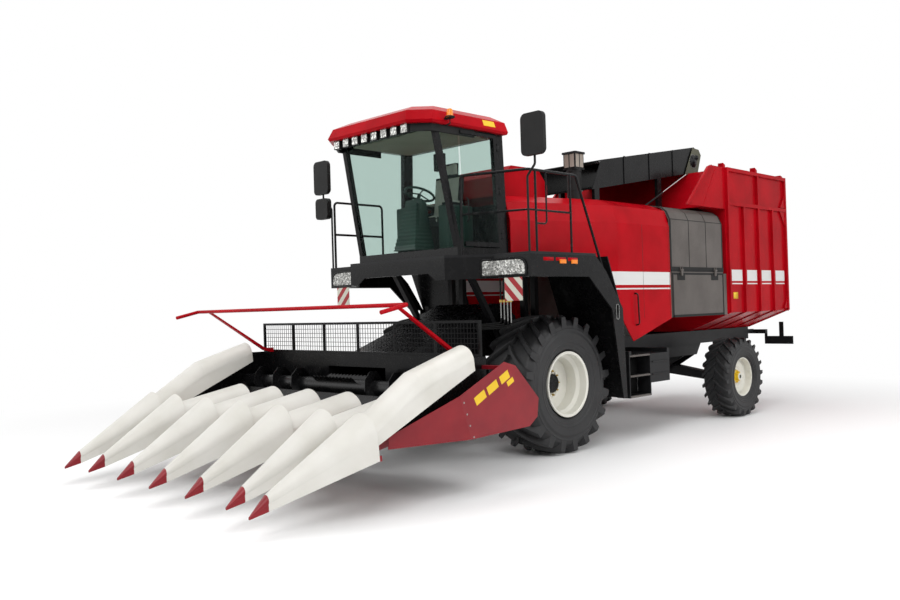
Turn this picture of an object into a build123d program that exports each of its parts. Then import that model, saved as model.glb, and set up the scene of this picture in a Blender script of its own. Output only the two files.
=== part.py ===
from build123d import *
from math import atan2, cos, degrees, hypot, pi, radians, sin
import os

os.makedirs("parts", exist_ok=True)

# A self-propelled six-row corn harvester. Millimetres; +X is the machine's left side, it drives
# towards -Y and +Z is up. Every piece is drawn with y = 0 at the front axle and z = 0 on the
# ground, and save() moves it so that the origin lies under the middle of the whole machine.

# Driving dimensions
ROWS = 6
ROW_PITCH = 750
TIP_Y = -5090
TAIL_Y = 7050
SEAT_GAP = 0.3          # between curved faces that touch
RUN_GAP = 0.05          # radial, shaft in bearing

# Front wheels
FRONT_AXLE_Z = 907
FRONT_WHEEL_X = 1180
FRONT_TYRE_R = 907
FRONT_TYRE_W = 775
FRONT_RIM_R = 406
FRONT_LIP_R = 428
FRONT_RIM_W = 720
FRONT_DISC_X = 1215
FRONT_LUG_H = 42
FRONT_LUGS = 20

# Rear wheels
REAR_AXLE_Y = 4616
REAR_AXLE_Z = 657
REAR_WHEEL_X = 1450
REAR_TYRE_R = 657
REAR_TYRE_W = 460
REAR_RIM_R = 318
REAR_LIP_R = 344
REAR_RIM_W = 372
REAR_DISC_X = 1500
REAR_LUG_H = 26
REAR_LUGS = 20
KINGPIN_X = 1090
KINGPIN_R = 30
RIM_WALL = 12

# Chassis
RAIL_X = 700
RAIL_W = 100
RAIL_Z0 = 1200
RAIL_Z1 = 1420
RAIL_FRONT_Y = -350
RAIL_REAR_Y = 6640
FEEDER_PIVOT_Y = -150
FEEDER_PIVOT_Z = 1760
FEEDER_PIVOT_R = 40
HITCH_Y = 6690
HITCH_Z = 1310
HITCH_PIN_R = 16
RAIL_TUBE_R = 17

# Deck, fenders and bumper
DECK_X = 1930
DECK_Z = 2590
DECK_T = 30
DECK_FRONT_Y = -1170
DECK_NOSE_Y = -1600
DECK_NOSE_X = 920
DECK_SHOULDER_X = 1350
DECK_BACK_Y = 137
APRON_Z = 2290
APRON_NOSE_Z = 2380
PLATE_T = 20
LEG_KNEE_Z = 1870
LEG_FOOT_Z = 620
LEG_KNEE_Y = (466, 692)
LEG_FOOT_Y = (1130, 1220)
LEG_FOOT_X = 1620
GUARD_INNER_X = 850

# Cab
CAB_X = 960
CAB_TOP_X = 910
CAB_FRONT_Y = -1400
CAB_TOP_FRONT_Y = -1700
CAB_BACK_Y = -450
CAB_PILLAR_BACK_Y = -620
CAB_TOP_Z = 4180
CAB_SILL_Z = 2700
CAB_WALL = 60
CAB_POST = 70
GLASS_T = 8
DOOR_FRONT_Y = -1280
DOOR_GAP = 5
DOOR_AXIS_X = 985
DOOR_AXIS_Y = -590
DOOR_PIN_R = 8
DOOR_HINGES = (2860, 3440, 4020)
ROOF_Z0 = 4200
ROOF_Z1 = 4450
ROOF_FRONT_Y = -2040
ROOF_BACK_Y = -430
ROOF_X = 1000
ROOF_CORNER = 230
BEACON_X = 1070
BEACON_Y = -1580
BEACON_Z = 4262
BEACON_R = 45

# Engine bay covers
COVER_X = 1500
COVER_FRONT_X = 1000
COVER_T = 12
COVER_FRONT_Y = -440
COVER_SHOULDER_Y = 1270
COVER_BACK_Y = 2650
COVER_TOP_Z = 3440
COVER_CREASE_Z = 3080
COVER_LOW_Z = 1390
COVER_TOP_IN = 330
MESH_Y0 = 2690
MESH_Y1 = 4300
MESH_SPLIT_Z = 2400
MESH_LOW_Z = 1700
FLAP_AXIS = (1526, 2424)
FLAP_HINGES = (2950, 4000)

# Hopper
HOPPER_X = 1500
HOPPER_Y0 = 4430
HOPPER_Y1 = 6740
HOPPER_Z0 = 1730
HOPPER_TOP_Z = 4160
HOPPER_FLOOR_X = 700
HOPPER_FLOOR_Z = RAIL_Z1
HOPPER_MID_Z = 3560
HOPPER_T = 10
HOPPER_NOSE_Y = 3700
RIB = 45

# Conveyor
CONV_X = 1000
CONV_Y0 = 1400
CONV_Z0 = 3620
CONV_Y1 = 4370
CONV_Z1 = 4130
CONV_H = 430

# Air intake
INTAKE_X = 800
INTAKE_Y = 1240

# Header
HEAD_X = 2100
AUGER_Y = -2540
AUGER_Z = 1020
AUGER_R = 220
AUGER_TUBE_R = 105
TROUGH_R = 250
TROUGH_T = 12
HEAD_BACK_Y = -2290
SCREEN_Z0 = 1440
SCREEN_Z1 = 1805
SHIELD_X = 2400
SHIELD_FRONT_X = 2220
SNOUT_REAR_Y = -3930
SNOUT_TIP_Y = -5016
BAR_Y = -3280
BAR_Z = 1990
BAR_X = 2070

FEEDER_W = 1120
THROAT_W = 1120
THROAT_Y = -2190
THROAT_Z0 = 740
THROAT_Z1 = 1290
AUGER_STUB_R = 30
OUTER_TIP_X = 2000
TAILGATE_EARS = (-1200, 0, 1200)
GATE_PIVOT_Y = 6800
GATE_PIVOT_Z = 4100
GATE_PIN_R = 16
FLAP_GAP = 5
FLAP_PIN_R = 8
HOOD_T = 8
SHELL_T = 8
EYE_DRIFT = 14
BEAM_Y0 = -2970
BEAM_Z0 = 690
BEAM_Z1 = 800
HOOD_X = HEAD_X + TROUGH_T / 2
HOOD_FRONT_Y = -3990
HOOD_REAR_Y = -2560
HOOD_REAR_Z = 1290
HOOD_REAR_H = 260
HOOD_KINK_Y = -3300
HOOD_KINK_Z = 960
HOOD_KINK_H = 370
ROW_HOOD_REAR_Y = -3010
ROW_FRONT_Z = 618
ROW_REAR_Z = 800

# Lift cylinders
LIFT_X = 420
LIFT_BASE_Y = 260
LIFT_BASE_Z = 620
LIFT_EYE_Y = -1150
LIFT_EYE_Z = 930
LIFT_PIN_R = 25
LIFT_BARREL_R = 55
LIFT_ROD_R = 30

CENTRE_Y = (TIP_Y + TAIL_Y) / 2


def box(x0, x1, y0, y1, z0, z1):
    """A block between two corners."""
    middle = ((x0 + x1) / 2, (y0 + y1) / 2, (z0 + z1) / 2)
    return Pos(*middle) * Box(abs(x1 - x0), abs(y1 - y0), abs(z1 - z0))


def side_plate(outline, x0, x1):
    """An outline of (y, z) points, from x0 to x1."""
    face = make_face(Polyline([(x0, y, z) for y, z in outline], close=True))
    return Solid.extrude(face.face(), Vector(x1 - x0, 0, 0))


def plan_plate(outline, z0, z1):
    """An outline of (x, y) points, from z0 to z1."""
    face = make_face(Polyline([(x, y, z0) for x, y in outline], close=True))
    return Solid.extrude(face.face(), Vector(0, 0, z1 - z0))


def front_plate(outline, y0, y1):
    """An outline of (x, z) points, from y0 to y1."""
    face = make_face(Polyline([(x, y0, z) for x, z in outline], close=True))
    return Solid.extrude(face.face(), Vector(0, y1 - y0, 0))


def bar(start, end, radius):
    """A round bar from one point to another."""
    a, b = Vector(*start), Vector(*end)
    plane = Plane(origin=a, z_dir=(b - a).normalized())
    return Solid.extrude(make_face(Edge.make_circle(radius, plane)).face(), b - a)


def cross_bar(x0, x1, y, z, radius):
    """A round bar along X."""
    return bar((x0, y, z), (x1, y, z), radius)


def pipe(points, radius, bend):
    """A round tube along straight runs joined by arcs."""
    path = FilletPolyline(*points, radius=bend) if len(points) > 2 else Line(*points)
    start = path @ 0
    section = Plane(origin=start, z_dir=path % 0) * Circle(radius)
    return sweep(section, path=path)


def ruled(*outlines):
    """A solid through closed outlines with the same number of corners."""
    wires = [Wire.make_polygon(list(points), close=True) for points in outlines]
    return Solid.make_loft(wires, ruled=True)


def rect_x(x, y0, y1, z0, z1):
    """Corners of a rectangle across X."""
    return ((x, y0, z0), (x, y1, z0), (x, y1, z1), (x, y0, z1))


def rect_z(z, x0, x1, y0, y1):
    """Corners of a rectangle across Z."""
    return ((x0, y0, z), (x1, y0, z), (x1, y1, z), (x0, y1, z))


def turned(profile, x, y, z):
    """A closed profile of (axial, radial) points turned about an axis along X."""
    face = make_face(Polyline([(a, r, 0) for a, r in profile], close=True))
    solid = Solid.revolve(face.face(), 360, Axis.X)
    return Pos(x, y, z) * solid


def across(solid):
    """The same piece on the other side of the machine."""
    return mirror(solid, Plane.YZ)


def joined(pieces):
    """Pieces that touch, as one solid."""
    first, *rest = pieces
    return first.fuse(*rest) if rest else first


def save(node, *pieces):
    """Write one node, moved from the axle's frame to the machine's own."""
    place = Location((0, -CENTRE_Y, 0))
    solids = [solid.moved(place) for piece in pieces for solid in piece.solids()]
    export_step(solids[0] if len(solids) == 1 else Compound(solids), f"parts/{node}.step")


def save_pair(node, left):
    """Write a node and its mirror image."""
    save(f"{node}_left", left)
    save(f"{node}_right", across(left))


# Wheels

def tyre(radius, width, bead_r, bead_top_r, bead_half, lug_h, lugs, lug_t, lean):
    """A turned carcass with two rows of slanted lugs round its crown."""
    crown = radius - lug_h
    half = width / 2
    profile = [(-bead_half, bead_r), (-bead_half, bead_top_r), (-half + 20, bead_r + 0.35 * (crown - bead_r)),
               (-half + 8, bead_r + 0.62 * (crown - bead_r)), (-half + 55, crown - 48),
               (-half * 0.5, crown - 6), (half * 0.5, crown - 6), (half - 55, crown - 48),
               (half - 8, bead_r + 0.62 * (crown - bead_r)),
               (half - 20, bead_r + 0.35 * (crown - bead_r)), (bead_half, bead_top_r), (bead_half, bead_r)]
    body = turned(profile, 0, 0, 0)
    stations = [(-15, 0, radius, crown - 30, 0.8), (half * 0.55, lean * 0.55, radius - 4, crown - 40, 1.0),
                (half - 4, lean, radius - 34, crown - 105, 1.25)]
    pieces = []
    for side in (1, -1):
        for index in range(lugs):
            turn = 360 / lugs * (index + (0 if side > 0 else 0.5))
            outlines = []
            for x, angle, top, low, wide in stations:
                here = radians(turn + angle)
                edge = lug_t * wide / 2
                outlines.append([(side * x, cos(here) * r - sin(here) * e, sin(here) * r + cos(here) * e)
                                 for r, e in ((low, -edge * 1.3), (low, edge * 1.3), (top, edge), (top, -edge))])
            pieces.append(ruled(*outlines))
    return body.fuse(*pieces)


def rim(lip_r, seat_r, width, disc, hub_r, studs, stud_circle, stud_r, bore_r):
    """A one-piece rim: lips, bead seats, drop centre, dished disc and its wheel nuts."""
    half = width / 2
    wall = RIM_WALL
    drop = seat_r - 45
    outer = [(-half, lip_r), (-half + 18, lip_r), (-half + 26, seat_r), (-half + 110, seat_r - 8),
             (-half + 150, drop), (half - 150, drop), (half - 110, seat_r - 8), (half - 26, seat_r),
             (half - 18, lip_r), (half, lip_r)]
    inner = [(half, lip_r - wall), (half - 10, seat_r - wall), (half - 110, seat_r - 8 - wall),
             (half - 150, drop - wall), (disc + 2 * wall, drop - wall), (disc + wall, stud_circle + 60),
             (disc, stud_circle + 40), (disc, bore_r), (disc - wall, bore_r),
             (disc - wall, stud_circle + 40), (disc - 3 * wall, drop - wall), (-half + 150, drop - wall),
             (-half + 110, seat_r - 8 - wall), (-half + 10, seat_r - wall), (-half, lip_r - wall)]
    body = turned(outer + inner, 0, 0, 0)
    nuts = []
    for index in range(studs):
        turn = 2 * pi * index / studs
        y, z = stud_circle * cos(turn), stud_circle * sin(turn)
        nuts.append(cross_bar(disc, disc + 28, y, z, stud_r))
    return body.fuse(*nuts)


def front_wheels():
    """Driven front wheels: tyre, rim and the hub cap in the rim's bore."""
    rubber = Pos(FRONT_WHEEL_X, 0, FRONT_AXLE_Z) * tyre(
        FRONT_TYRE_R, FRONT_TYRE_W, FRONT_RIM_R + SEAT_GAP, FRONT_LIP_R + 8, FRONT_RIM_W / 2 - 30,
        FRONT_LUG_H, FRONT_LUGS, 62, 21)
    steel = rim(FRONT_LIP_R, FRONT_RIM_R, FRONT_RIM_W, FRONT_DISC_X - FRONT_WHEEL_X, 130, 8, 165, 14, 60)
    cap = turned([(35, 0), (35, 120), (85, 120), (95, 105), (95, 0)], 0, 0, 0)
    steel = Pos(FRONT_WHEEL_X, 0, FRONT_AXLE_Z) * steel.fuse(cap)
    save_pair("front_tyre", rubber)
    save_pair("front_rim", steel)


def rear_wheels():
    """Steered rear wheels: tyre and rim with its hub."""
    rubber = Pos(REAR_WHEEL_X, REAR_AXLE_Y, REAR_AXLE_Z) * tyre(
        REAR_TYRE_R, REAR_TYRE_W, REAR_RIM_R + SEAT_GAP, REAR_LIP_R + 8, REAR_RIM_W / 2 - 30,
        REAR_LUG_H, REAR_LUGS, 52, 18)
    disc = REAR_DISC_X - REAR_WHEEL_X
    steel = rim(REAR_LIP_R, REAR_RIM_R, REAR_RIM_W, disc, 90, 8, 110, 11, 50)
    hub = turned([(disc, 0), (disc, 80), (disc + 55, 70), (disc + 85, 55), (disc + 85, 0)], 0, 0, 0)
    socket = turned([(-265, 42 + RUN_GAP), (-265, 75), (disc - RIM_WALL, 85), (disc, 60), (disc, 0),
                     (disc - 30, 0), (disc - 30, 42 + RUN_GAP)], 0, 0, 0)
    steel = Pos(REAR_WHEEL_X, REAR_AXLE_Y, REAR_AXLE_Z) * steel.fuse(hub, socket)
    save_pair("rear_tyre", rubber)
    save_pair("rear_rim", steel)


# Axles

def front_axle():
    """The drive axle: gearbox in the middle, beam, planetary hubs and its seats under the rails."""
    beam = cross_bar(-800, 800, 0, FRONT_AXLE_Z, 110)
    box_mid = box(-230, 230, -190, 190, FRONT_AXLE_Z - 190, FRONT_AXLE_Z + 160)
    pieces = [beam, box_mid]
    for side in (1, -1):
        hub = turned([(0, 0), (0, 190), (60, 190), (90, 150), (200, 150), (200, 0)], 780, 0, FRONT_AXLE_Z)
        pieces.append(hub if side > 0 else across(hub))
        pieces.append(box(side * 680, side * 780, -130, 130, FRONT_AXLE_Z, RAIL_Z0))
    spindle_end = FRONT_DISC_X - RIM_WALL - SEAT_GAP
    for side in (1, -1):
        pieces.append(cross_bar(side * 980, side * spindle_end, 0, FRONT_AXLE_Z, 110))
    for side in (1, -1):
        ear_out = box(side * (LIFT_X + 30), side * (LIFT_X + 50), LIFT_BASE_Y - 60, LIFT_BASE_Y + 60,
                      LIFT_BASE_Z - 50, FRONT_AXLE_Z - 60)
        ear_in = box(side * (LIFT_X - 50), side * (LIFT_X - 30), LIFT_BASE_Y - 60, LIFT_BASE_Y + 60,
                     LIFT_BASE_Z - 50, FRONT_AXLE_Z - 60)
        web = box(side * (LIFT_X - 50), side * (LIFT_X + 50), 0, LIFT_BASE_Y + 60,
                  FRONT_AXLE_Z - 60, FRONT_AXLE_Z - 30)
        pin = cross_bar(side * (LIFT_X - 60), side * (LIFT_X + 60), LIFT_BASE_Y, LIFT_BASE_Z, LIFT_PIN_R)
        pieces += [ear_out, ear_in, web, pin]
    save("front_axle", joined(pieces))


def rear_axle():
    """The pivoting rear beam with a fork at each end for the knuckle."""
    y, z = REAR_AXLE_Y, REAR_AXLE_Z
    outline = [(-KINGPIN_X + 90, z - 60), (-300, z + 20), (300, z + 20), (KINGPIN_X - 90, z - 60),
               (KINGPIN_X - 90, z + 70), (300, z + 190), (-300, z + 190), (-KINGPIN_X + 90, z + 70)]
    beam = front_plate(outline, y - 90, y + 90)
    pieces = [beam]
    for side in (1, -1):
        x0, x1 = side * (KINGPIN_X - 70), side * (KINGPIN_X + 45)
        pieces.append(box(x0, x1, y - 70, y + 70, z + 75, z + 125))
        pieces.append(box(x0, x1, y - 70, y + 70, z - 125, z - 75))
        pieces.append(box(side * (KINGPIN_X - 130), side * (KINGPIN_X - 70), y - 70, y + 70, z - 125, z + 125))
    body = joined(pieces)
    for side in (1, -1):
        body = body - bar((side * KINGPIN_X, y, z - 200), (side * KINGPIN_X, y, z + 200), KINGPIN_R + RUN_GAP)
    pivot = bar((0, y - 200, z + 110), (0, y + 200, z + 110), 45)
    save("rear_axle", body.fuse(pivot))


def knuckles():
    """The steering knuckle: kingpin, its block and the stub axle that the hub turns on."""
    y, z = REAR_AXLE_Y, REAR_AXLE_Z
    pin = bar((KINGPIN_X, y, z - 130), (KINGPIN_X, y, z + 130), KINGPIN_R)
    block = box(KINGPIN_X - 40, KINGPIN_X + 60, y - 50, y + 50, z - 74, z + 74)
    stub_end = REAR_DISC_X - 32
    stub = cross_bar(KINGPIN_X + 60, stub_end, y, z, 42)
    arm = box(KINGPIN_X - 10, KINGPIN_X + 40, y + 50, y + 230, z - 40, z - 15)
    save_pair("knuckle", joined([pin, block, stub, arm]))


# Chassis

def chassis_frame():
    """Two box rails with the deeper plates over the rear axle, and the cross members between them."""
    inner, outer = RAIL_X - RAIL_W / 2, RAIL_X + RAIL_W / 2
    lower = [(3500, RAIL_Z0), (3700, 1000), (4850, 1000), (5000, RAIL_Z0)]
    rails = []
    for side in (1, -1):
        rail = box(side * inner, side * outer, RAIL_FRONT_Y, RAIL_REAR_Y, RAIL_Z0, RAIL_Z1)
        rails.append(rail.fuse(side_plate(lower, side * inner, side * (inner + 14))))
    save("chassis_rails", *rails)
    members = []
    for y in (300, 1500, 2500, 3350, 5600):
        members.append(box(-inner, inner, y - 50, y + 50, RAIL_Z0 + 30, RAIL_Z1 - 30))
    tail = box(-inner, inner, RAIL_REAR_Y - 110, RAIL_REAR_Y - 10, RAIL_Z0 + 30, RAIL_Z1 - 30)
    hitch = box(-60, 60, RAIL_REAR_Y - 10, RAIL_REAR_Y + 100, HITCH_Z - 15, HITCH_Z + 15)
    members.append(tail.fuse(hitch) - bar((0, HITCH_Y, HITCH_Z - 20), (0, HITCH_Y, HITCH_Z + 20), HITCH_PIN_R))
    hanger_z = REAR_AXLE_Z + 110
    for y0, y1 in ((REAR_AXLE_Y - 190, REAR_AXLE_Y - 160), (REAR_AXLE_Y + 160, REAR_AXLE_Y + 190)):
        outline = [(-inner, 1000), (-inner, RAIL_Z0 + 120), (inner, RAIL_Z0 + 120), (inner, 1000),
                   (130, hanger_z - 90), (-130, hanger_z - 90)]
        hole = bar((0, y0 - 10, hanger_z), (0, y1 + 10, hanger_z), 45 + RUN_GAP)
        members.append(front_plate(outline, y0, y1) - hole)
    save("cross_members", *members)


def towers():
    """The feeder's bearing towers on the rails and the posts that carry the deck and cab."""
    outline = [(FEEDER_PIVOT_Y - 110, RAIL_Z1), (FEEDER_PIVOT_Y + 200, RAIL_Z1),
               (FEEDER_PIVOT_Y + 80, FEEDER_PIVOT_Z + 60), (FEEDER_PIVOT_Y + 30, FEEDER_PIVOT_Z + 90),
               (FEEDER_PIVOT_Y - 30, FEEDER_PIVOT_Z + 90), (FEEDER_PIVOT_Y - 80, FEEDER_PIVOT_Z + 60)]
    pieces = []
    for side in (1, -1):
        plate = side_plate(outline, side * (RAIL_X - 40), side * (RAIL_X + 10))
        pieces.append(plate - cross_bar(side * (RAIL_X - 50), side * (RAIL_X + 20), FEEDER_PIVOT_Y, FEEDER_PIVOT_Z,
                                        FEEDER_PIVOT_R + RUN_GAP))
        x0, x1 = side * (RAIL_X - 40), side * (RAIL_X + 40)
        for y0 in (100, 330):
            pieces.append(box(x0, x1, y0, y0 + 80, RAIL_Z1, DECK_Z - DECK_T))
        pieces.append(ruled(rect_z(RAIL_Z1, x0, x1, RAIL_FRONT_Y, RAIL_FRONT_Y + 80),
                            rect_z(DECK_Z - DECK_T, x0, x1, -1100, -1020)))
    save("towers", *pieces)


def engine_block():
    """The engine, one plain block on its two cross members."""
    save("engine_block", box(-420, 420, 2450, 3650, RAIL_Z1 - 30, 2450))


def platform():
    """The deck under the cab with its side walkways."""
    nose = [(-DECK_X, DECK_FRONT_Y), (-DECK_SHOULDER_X, DECK_FRONT_Y), (-DECK_NOSE_X, DECK_NOSE_Y),
            (DECK_NOSE_X, DECK_NOSE_Y), (DECK_SHOULDER_X, DECK_FRONT_Y), (DECK_X, DECK_FRONT_Y),
            (DECK_X, DECK_BACK_Y), (COVER_X, 420), (-COVER_X, 420), (-DECK_X, DECK_BACK_Y)]
    deck = plan_plate(nose, DECK_Z - DECK_T, DECK_Z)
    save("platform", deck)


def bumper():
    """The black apron that hangs from the deck's front edge, shallower across the nose."""
    t = PLATE_T
    low, mid, top = APRON_Z, APRON_NOSE_Z, DECK_Z - DECK_T
    pieces = []
    nose = [(-DECK_NOSE_X, top), (DECK_NOSE_X, top), (DECK_NOSE_X, low), (DECK_NOSE_X - 160, low),
            (DECK_NOSE_X - 300, mid), (-DECK_NOSE_X + 300, mid), (-DECK_NOSE_X + 160, low), (-DECK_NOSE_X, low)]
    pieces.append(front_plate(nose, DECK_NOSE_Y, DECK_NOSE_Y + t))
    for side in (1, -1):
        a = (side * DECK_NOSE_X, DECK_NOSE_Y)
        b = (side * DECK_SHOULDER_X, DECK_FRONT_Y)
        cheek = [a, b, (b[0], b[1] + t), (a[0], a[1] + t)]
        pieces.append(plan_plate(cheek, low, top))
        face = [(side * DECK_SHOULDER_X, low), (side * (DECK_X - t), low), (side * (DECK_X - t), top),
                (side * DECK_SHOULDER_X, top)]
        pieces.append(front_plate(face, DECK_FRONT_Y, DECK_FRONT_Y + t))
        lip = [(side * DECK_SHOULDER_X, low), (side * (DECK_X - t), low), (side * (DECK_X - t), low + t),
               (side * DECK_SHOULDER_X, low + t)]
        pieces.append(front_plate(lip, DECK_FRONT_Y + t, DECK_FRONT_Y + 90))
    save("bumper", joined(pieces))


def fenders():
    """Side panel, slanted leg and the sloping mudguard behind each front wheel."""
    low, top = APRON_Z, DECK_Z - DECK_T
    x0, x1 = DECK_X - PLATE_T, DECK_X
    panel = side_plate([(DECK_FRONT_Y, low), (DECK_FRONT_Y, top), (DECK_BACK_Y, top), (358, 2359),
                        (LEG_KNEE_Y[1] + 20, LEG_KNEE_Z), (LEG_KNEE_Y[0], LEG_KNEE_Z), (-18, low)], x0, x1)
    leg = ruled(rect_z(LEG_KNEE_Z, x0, x1, LEG_KNEE_Y[0], LEG_KNEE_Y[1] + 20),
                rect_z(LEG_FOOT_Z, LEG_FOOT_X - PLATE_T, LEG_FOOT_X, *LEG_FOOT_Y))
    y_knee = LEG_KNEE_Y[1]
    guard = ruled(rect_z(LEG_KNEE_Z, GUARD_INNER_X, x0, y_knee, y_knee + PLATE_T),
                  rect_z(LEG_FOOT_Z, GUARD_INNER_X, LEG_FOOT_X - PLATE_T, LEG_FOOT_Y[1] - PLATE_T, LEG_FOOT_Y[1]))
    slope = (y_knee - LEG_FOOT_Y[1] + PLATE_T) / (LEG_KNEE_Z - LEG_FOOT_Z)
    y_top = y_knee + slope * (top - LEG_KNEE_Z)
    upper = ruled(rect_z(top, GUARD_INNER_X, x0, y_top, y_top + PLATE_T),
                  rect_z(LEG_KNEE_Z, GUARD_INNER_X, x0, y_knee, y_knee + PLATE_T))
    slot = cross_bar(x0 - 5, x1 + 5, 590, 1900, 30).fuse(cross_bar(x0 - 5, x1 + 5, 590, 1760, 30), box(x0 - 5, x1 + 5, 560, 620, 1760, 1900))
    save_pair("fender", joined([panel, leg, guard, upper]) - slot)


def ladder():
    """Boarding steps behind the left front wheel between two cheeks, with the box behind them."""
    x0, x1 = COVER_X - 110, COVER_X + 110
    y0, y1, z0, z1 = 1300, 2360, 600, 1180
    mid = 1830
    inner = RAIL_X + RAIL_W / 2
    pieces = [box(x0, x1, y0, y1, z1, z1 + 20)]
    for y in (y0, y1 - 60):
        pieces.append(box(inner, x1, y, y + 60, z1 + 20, z1 + 80))
    cheek = [(x1, z1), (x1, z0), (x0, z0), (x0, z1)]
    for y in (y0, mid):
        pieces.append(front_plate(cheek, y, y + 20))
    for z in (z0, z0 + 290):
        tread = box(x0, x1, y0 + 20, mid, z, z + 25)
        for index in range(5):
            slot_y = y0 + 70 + index * 95
            tread = tread - box(x0 + 40, x1 - 40, slot_y, slot_y + 45, z - 1, z + 26)
        pieces.append(tread)
    store = box(x0, x1, mid + 20, y1, z0 + 180, z1)
    pieces.append(store)
    for z in (z0 + 290, z0 + 470):
        pieces.append(box(x1, x1 + 12, mid + 60, y1 - 40, z, z + 20))
    save("ladder", joined(pieces))


def railings():
    """Walkway rails with their posts and the ladder's slanted hand rails, and the right guard rail."""
    r = RAIL_TUBE_R
    top, mid, x = 3570, 3090, 1880
    front, rear = DECK_FRONT_Y + 60, -180
    cab = (1030, CAB_FRONT_Y + 10)
    pieces = [pipe([(*cab, DECK_Z), (*cab, top), (x, front, top), (x, rear, top), (x, 420, 2240)], r, 60),
              pipe([(*cab, mid), (x, front, mid), (x, rear - 120, mid)], r - 4, 50),
              bar((x, front + 130, DECK_Z), (x, front + 130, top), r - 2),
              bar((x, rear - 120, DECK_Z), (x, rear - 120, top), r - 2),
              pipe([(x, front + 130, 2930), (x, front + 330, 2930), (x, front + 330, top)], r - 6, 50),
              box(x, DECK_X - PLATE_T, 405, 435, 2225, 2255)]
    right = [pipe([(-x, front, DECK_Z), (-x, front, top), (-x, rear, top), (-x, rear, DECK_Z)], r, 60),
             bar((-x, front, mid), (-x, rear, mid), r)]
    save("railings", joined(pieces), joined(right))


# Cab

def cab_shell():
    """Floor pan, posts, right side and rear wall with their windows cut, and the top frame."""
    w = CAB_WALL
    floor = box(-CAB_X, CAB_X, CAB_FRONT_Y, CAB_BACK_Y, DECK_Z, CAB_SILL_Z)
    pieces = [floor]
    for side in (1, -1):
        x0, x1 = side * (CAB_X - CAB_POST), side * CAB_X
        t0, t1 = side * (CAB_TOP_X - CAB_POST), side * CAB_TOP_X
        pieces.append(ruled(rect_z(CAB_SILL_Z, x0, x1, CAB_FRONT_Y, CAB_FRONT_Y + CAB_POST),
                            rect_z(CAB_TOP_Z, t0, t1, CAB_TOP_FRONT_Y, CAB_TOP_FRONT_Y + CAB_POST)))
        pieces.append(ruled(rect_z(CAB_SILL_Z, x0, x1, CAB_PILLAR_BACK_Y, CAB_BACK_Y),
                            rect_z(CAB_TOP_Z, t0, t1, CAB_PILLAR_BACK_Y, CAB_BACK_Y)))
    ring = box(-CAB_TOP_X, CAB_TOP_X, CAB_TOP_FRONT_Y, CAB_BACK_Y, CAB_TOP_Z, ROOF_Z0)
    hole = box(-CAB_TOP_X + 100, CAB_TOP_X - 100, CAB_TOP_FRONT_Y + 100, CAB_BACK_Y - 100, CAB_TOP_Z, ROOF_Z0)
    pieces.append(ring - hole)
    wall = box(-CAB_X + CAB_POST, CAB_X - CAB_POST, CAB_BACK_Y - w, CAB_BACK_Y, CAB_SILL_Z, 3300)
    pieces.append(wall)
    body = joined(pieces + [leaning(piece) for piece in door_hinges(False)])
    save("cab_shell", body)


def cab_roof():
    """The roof: a red cap with sloped sides and chamfered front corners, and the beacon's arm."""
    def ring(z, side, front, corner, back):
        return [(-side, front + corner, z), (-side + corner, front, z), (side - corner, front, z),
                (side, front + corner, z), (side, back, z), (-side, back, z)]
    low = ruled(ring(ROOF_Z0, ROOF_X - 20, ROOF_FRONT_Y + 20, ROOF_CORNER, ROOF_BACK_Y),
                ring(ROOF_Z0 + 30, ROOF_X, ROOF_FRONT_Y, ROOF_CORNER, ROOF_BACK_Y))
    cap = ruled(ring(ROOF_Z0 + 30, ROOF_X, ROOF_FRONT_Y, ROOF_CORNER, ROOF_BACK_Y),
                ring(ROOF_Z1 - 90, ROOF_X - 50, ROOF_FRONT_Y + 60, ROOF_CORNER - 10, ROOF_BACK_Y - 10))
    top = ruled(ring(ROOF_Z1 - 90, ROOF_X - 50, ROOF_FRONT_Y + 60, ROOF_CORNER - 10, ROOF_BACK_Y - 10),
                ring(ROOF_Z1, ROOF_X - 200, ROOF_FRONT_Y + 260, ROOF_CORNER - 40, ROOF_BACK_Y - 130))
    arm = box(ROOF_X - 100, BEACON_X + BEACON_R, BEACON_Y - 25, BEACON_Y + 25, BEACON_Z - 12, BEACON_Z)
    save("cab_roof", joined([low, cap, top, arm]))


def cab_glass():
    """Windscreen, right side and rear panes."""
    t = GLASS_T
    y0, y1 = CAB_FRONT_Y, CAB_TOP_FRONT_Y
    x0, x1 = CAB_X - CAB_POST, CAB_TOP_X - CAB_POST
    screen = ruled(((-x0, y0, CAB_SILL_Z), (x0, y0, CAB_SILL_Z), (x0, y0 + t, CAB_SILL_Z), (-x0, y0 + t, CAB_SILL_Z)),
                   ((-x1, y1, CAB_TOP_Z), (x1, y1, CAB_TOP_Z), (x1, y1 + t, CAB_TOP_Z), (-x1, y1 + t, CAB_TOP_Z)))
    pillar = CAB_FRONT_Y + CAB_POST + 1, CAB_TOP_FRONT_Y + CAB_POST + 1
    panes = [screen]
    x0 = CAB_X - 40
    low, top = CAB_SILL_Z + 2, CAB_TOP_Z - 2
    quarter = [(pillar[0], low), (DOOR_FRONT_Y + 20, low), (DOOR_FRONT_Y + 20, top), (pillar[1], top)]
    panes.append(leaning(side_plate(quarter, x0, x0 + t)))
    wide = [(pillar[0], low), (CAB_PILLAR_BACK_Y, low), (CAB_PILLAR_BACK_Y, top), (pillar[1], top)]
    panes.append(across(leaning(side_plate(wide, x0, x0 + t))))
    panes.append(box(-CAB_TOP_X + CAB_POST, CAB_TOP_X - CAB_POST, CAB_BACK_Y - 34, CAB_BACK_Y - 34 + t, 3300, CAB_TOP_Z))
    save("cab_glass", *panes)


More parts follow.
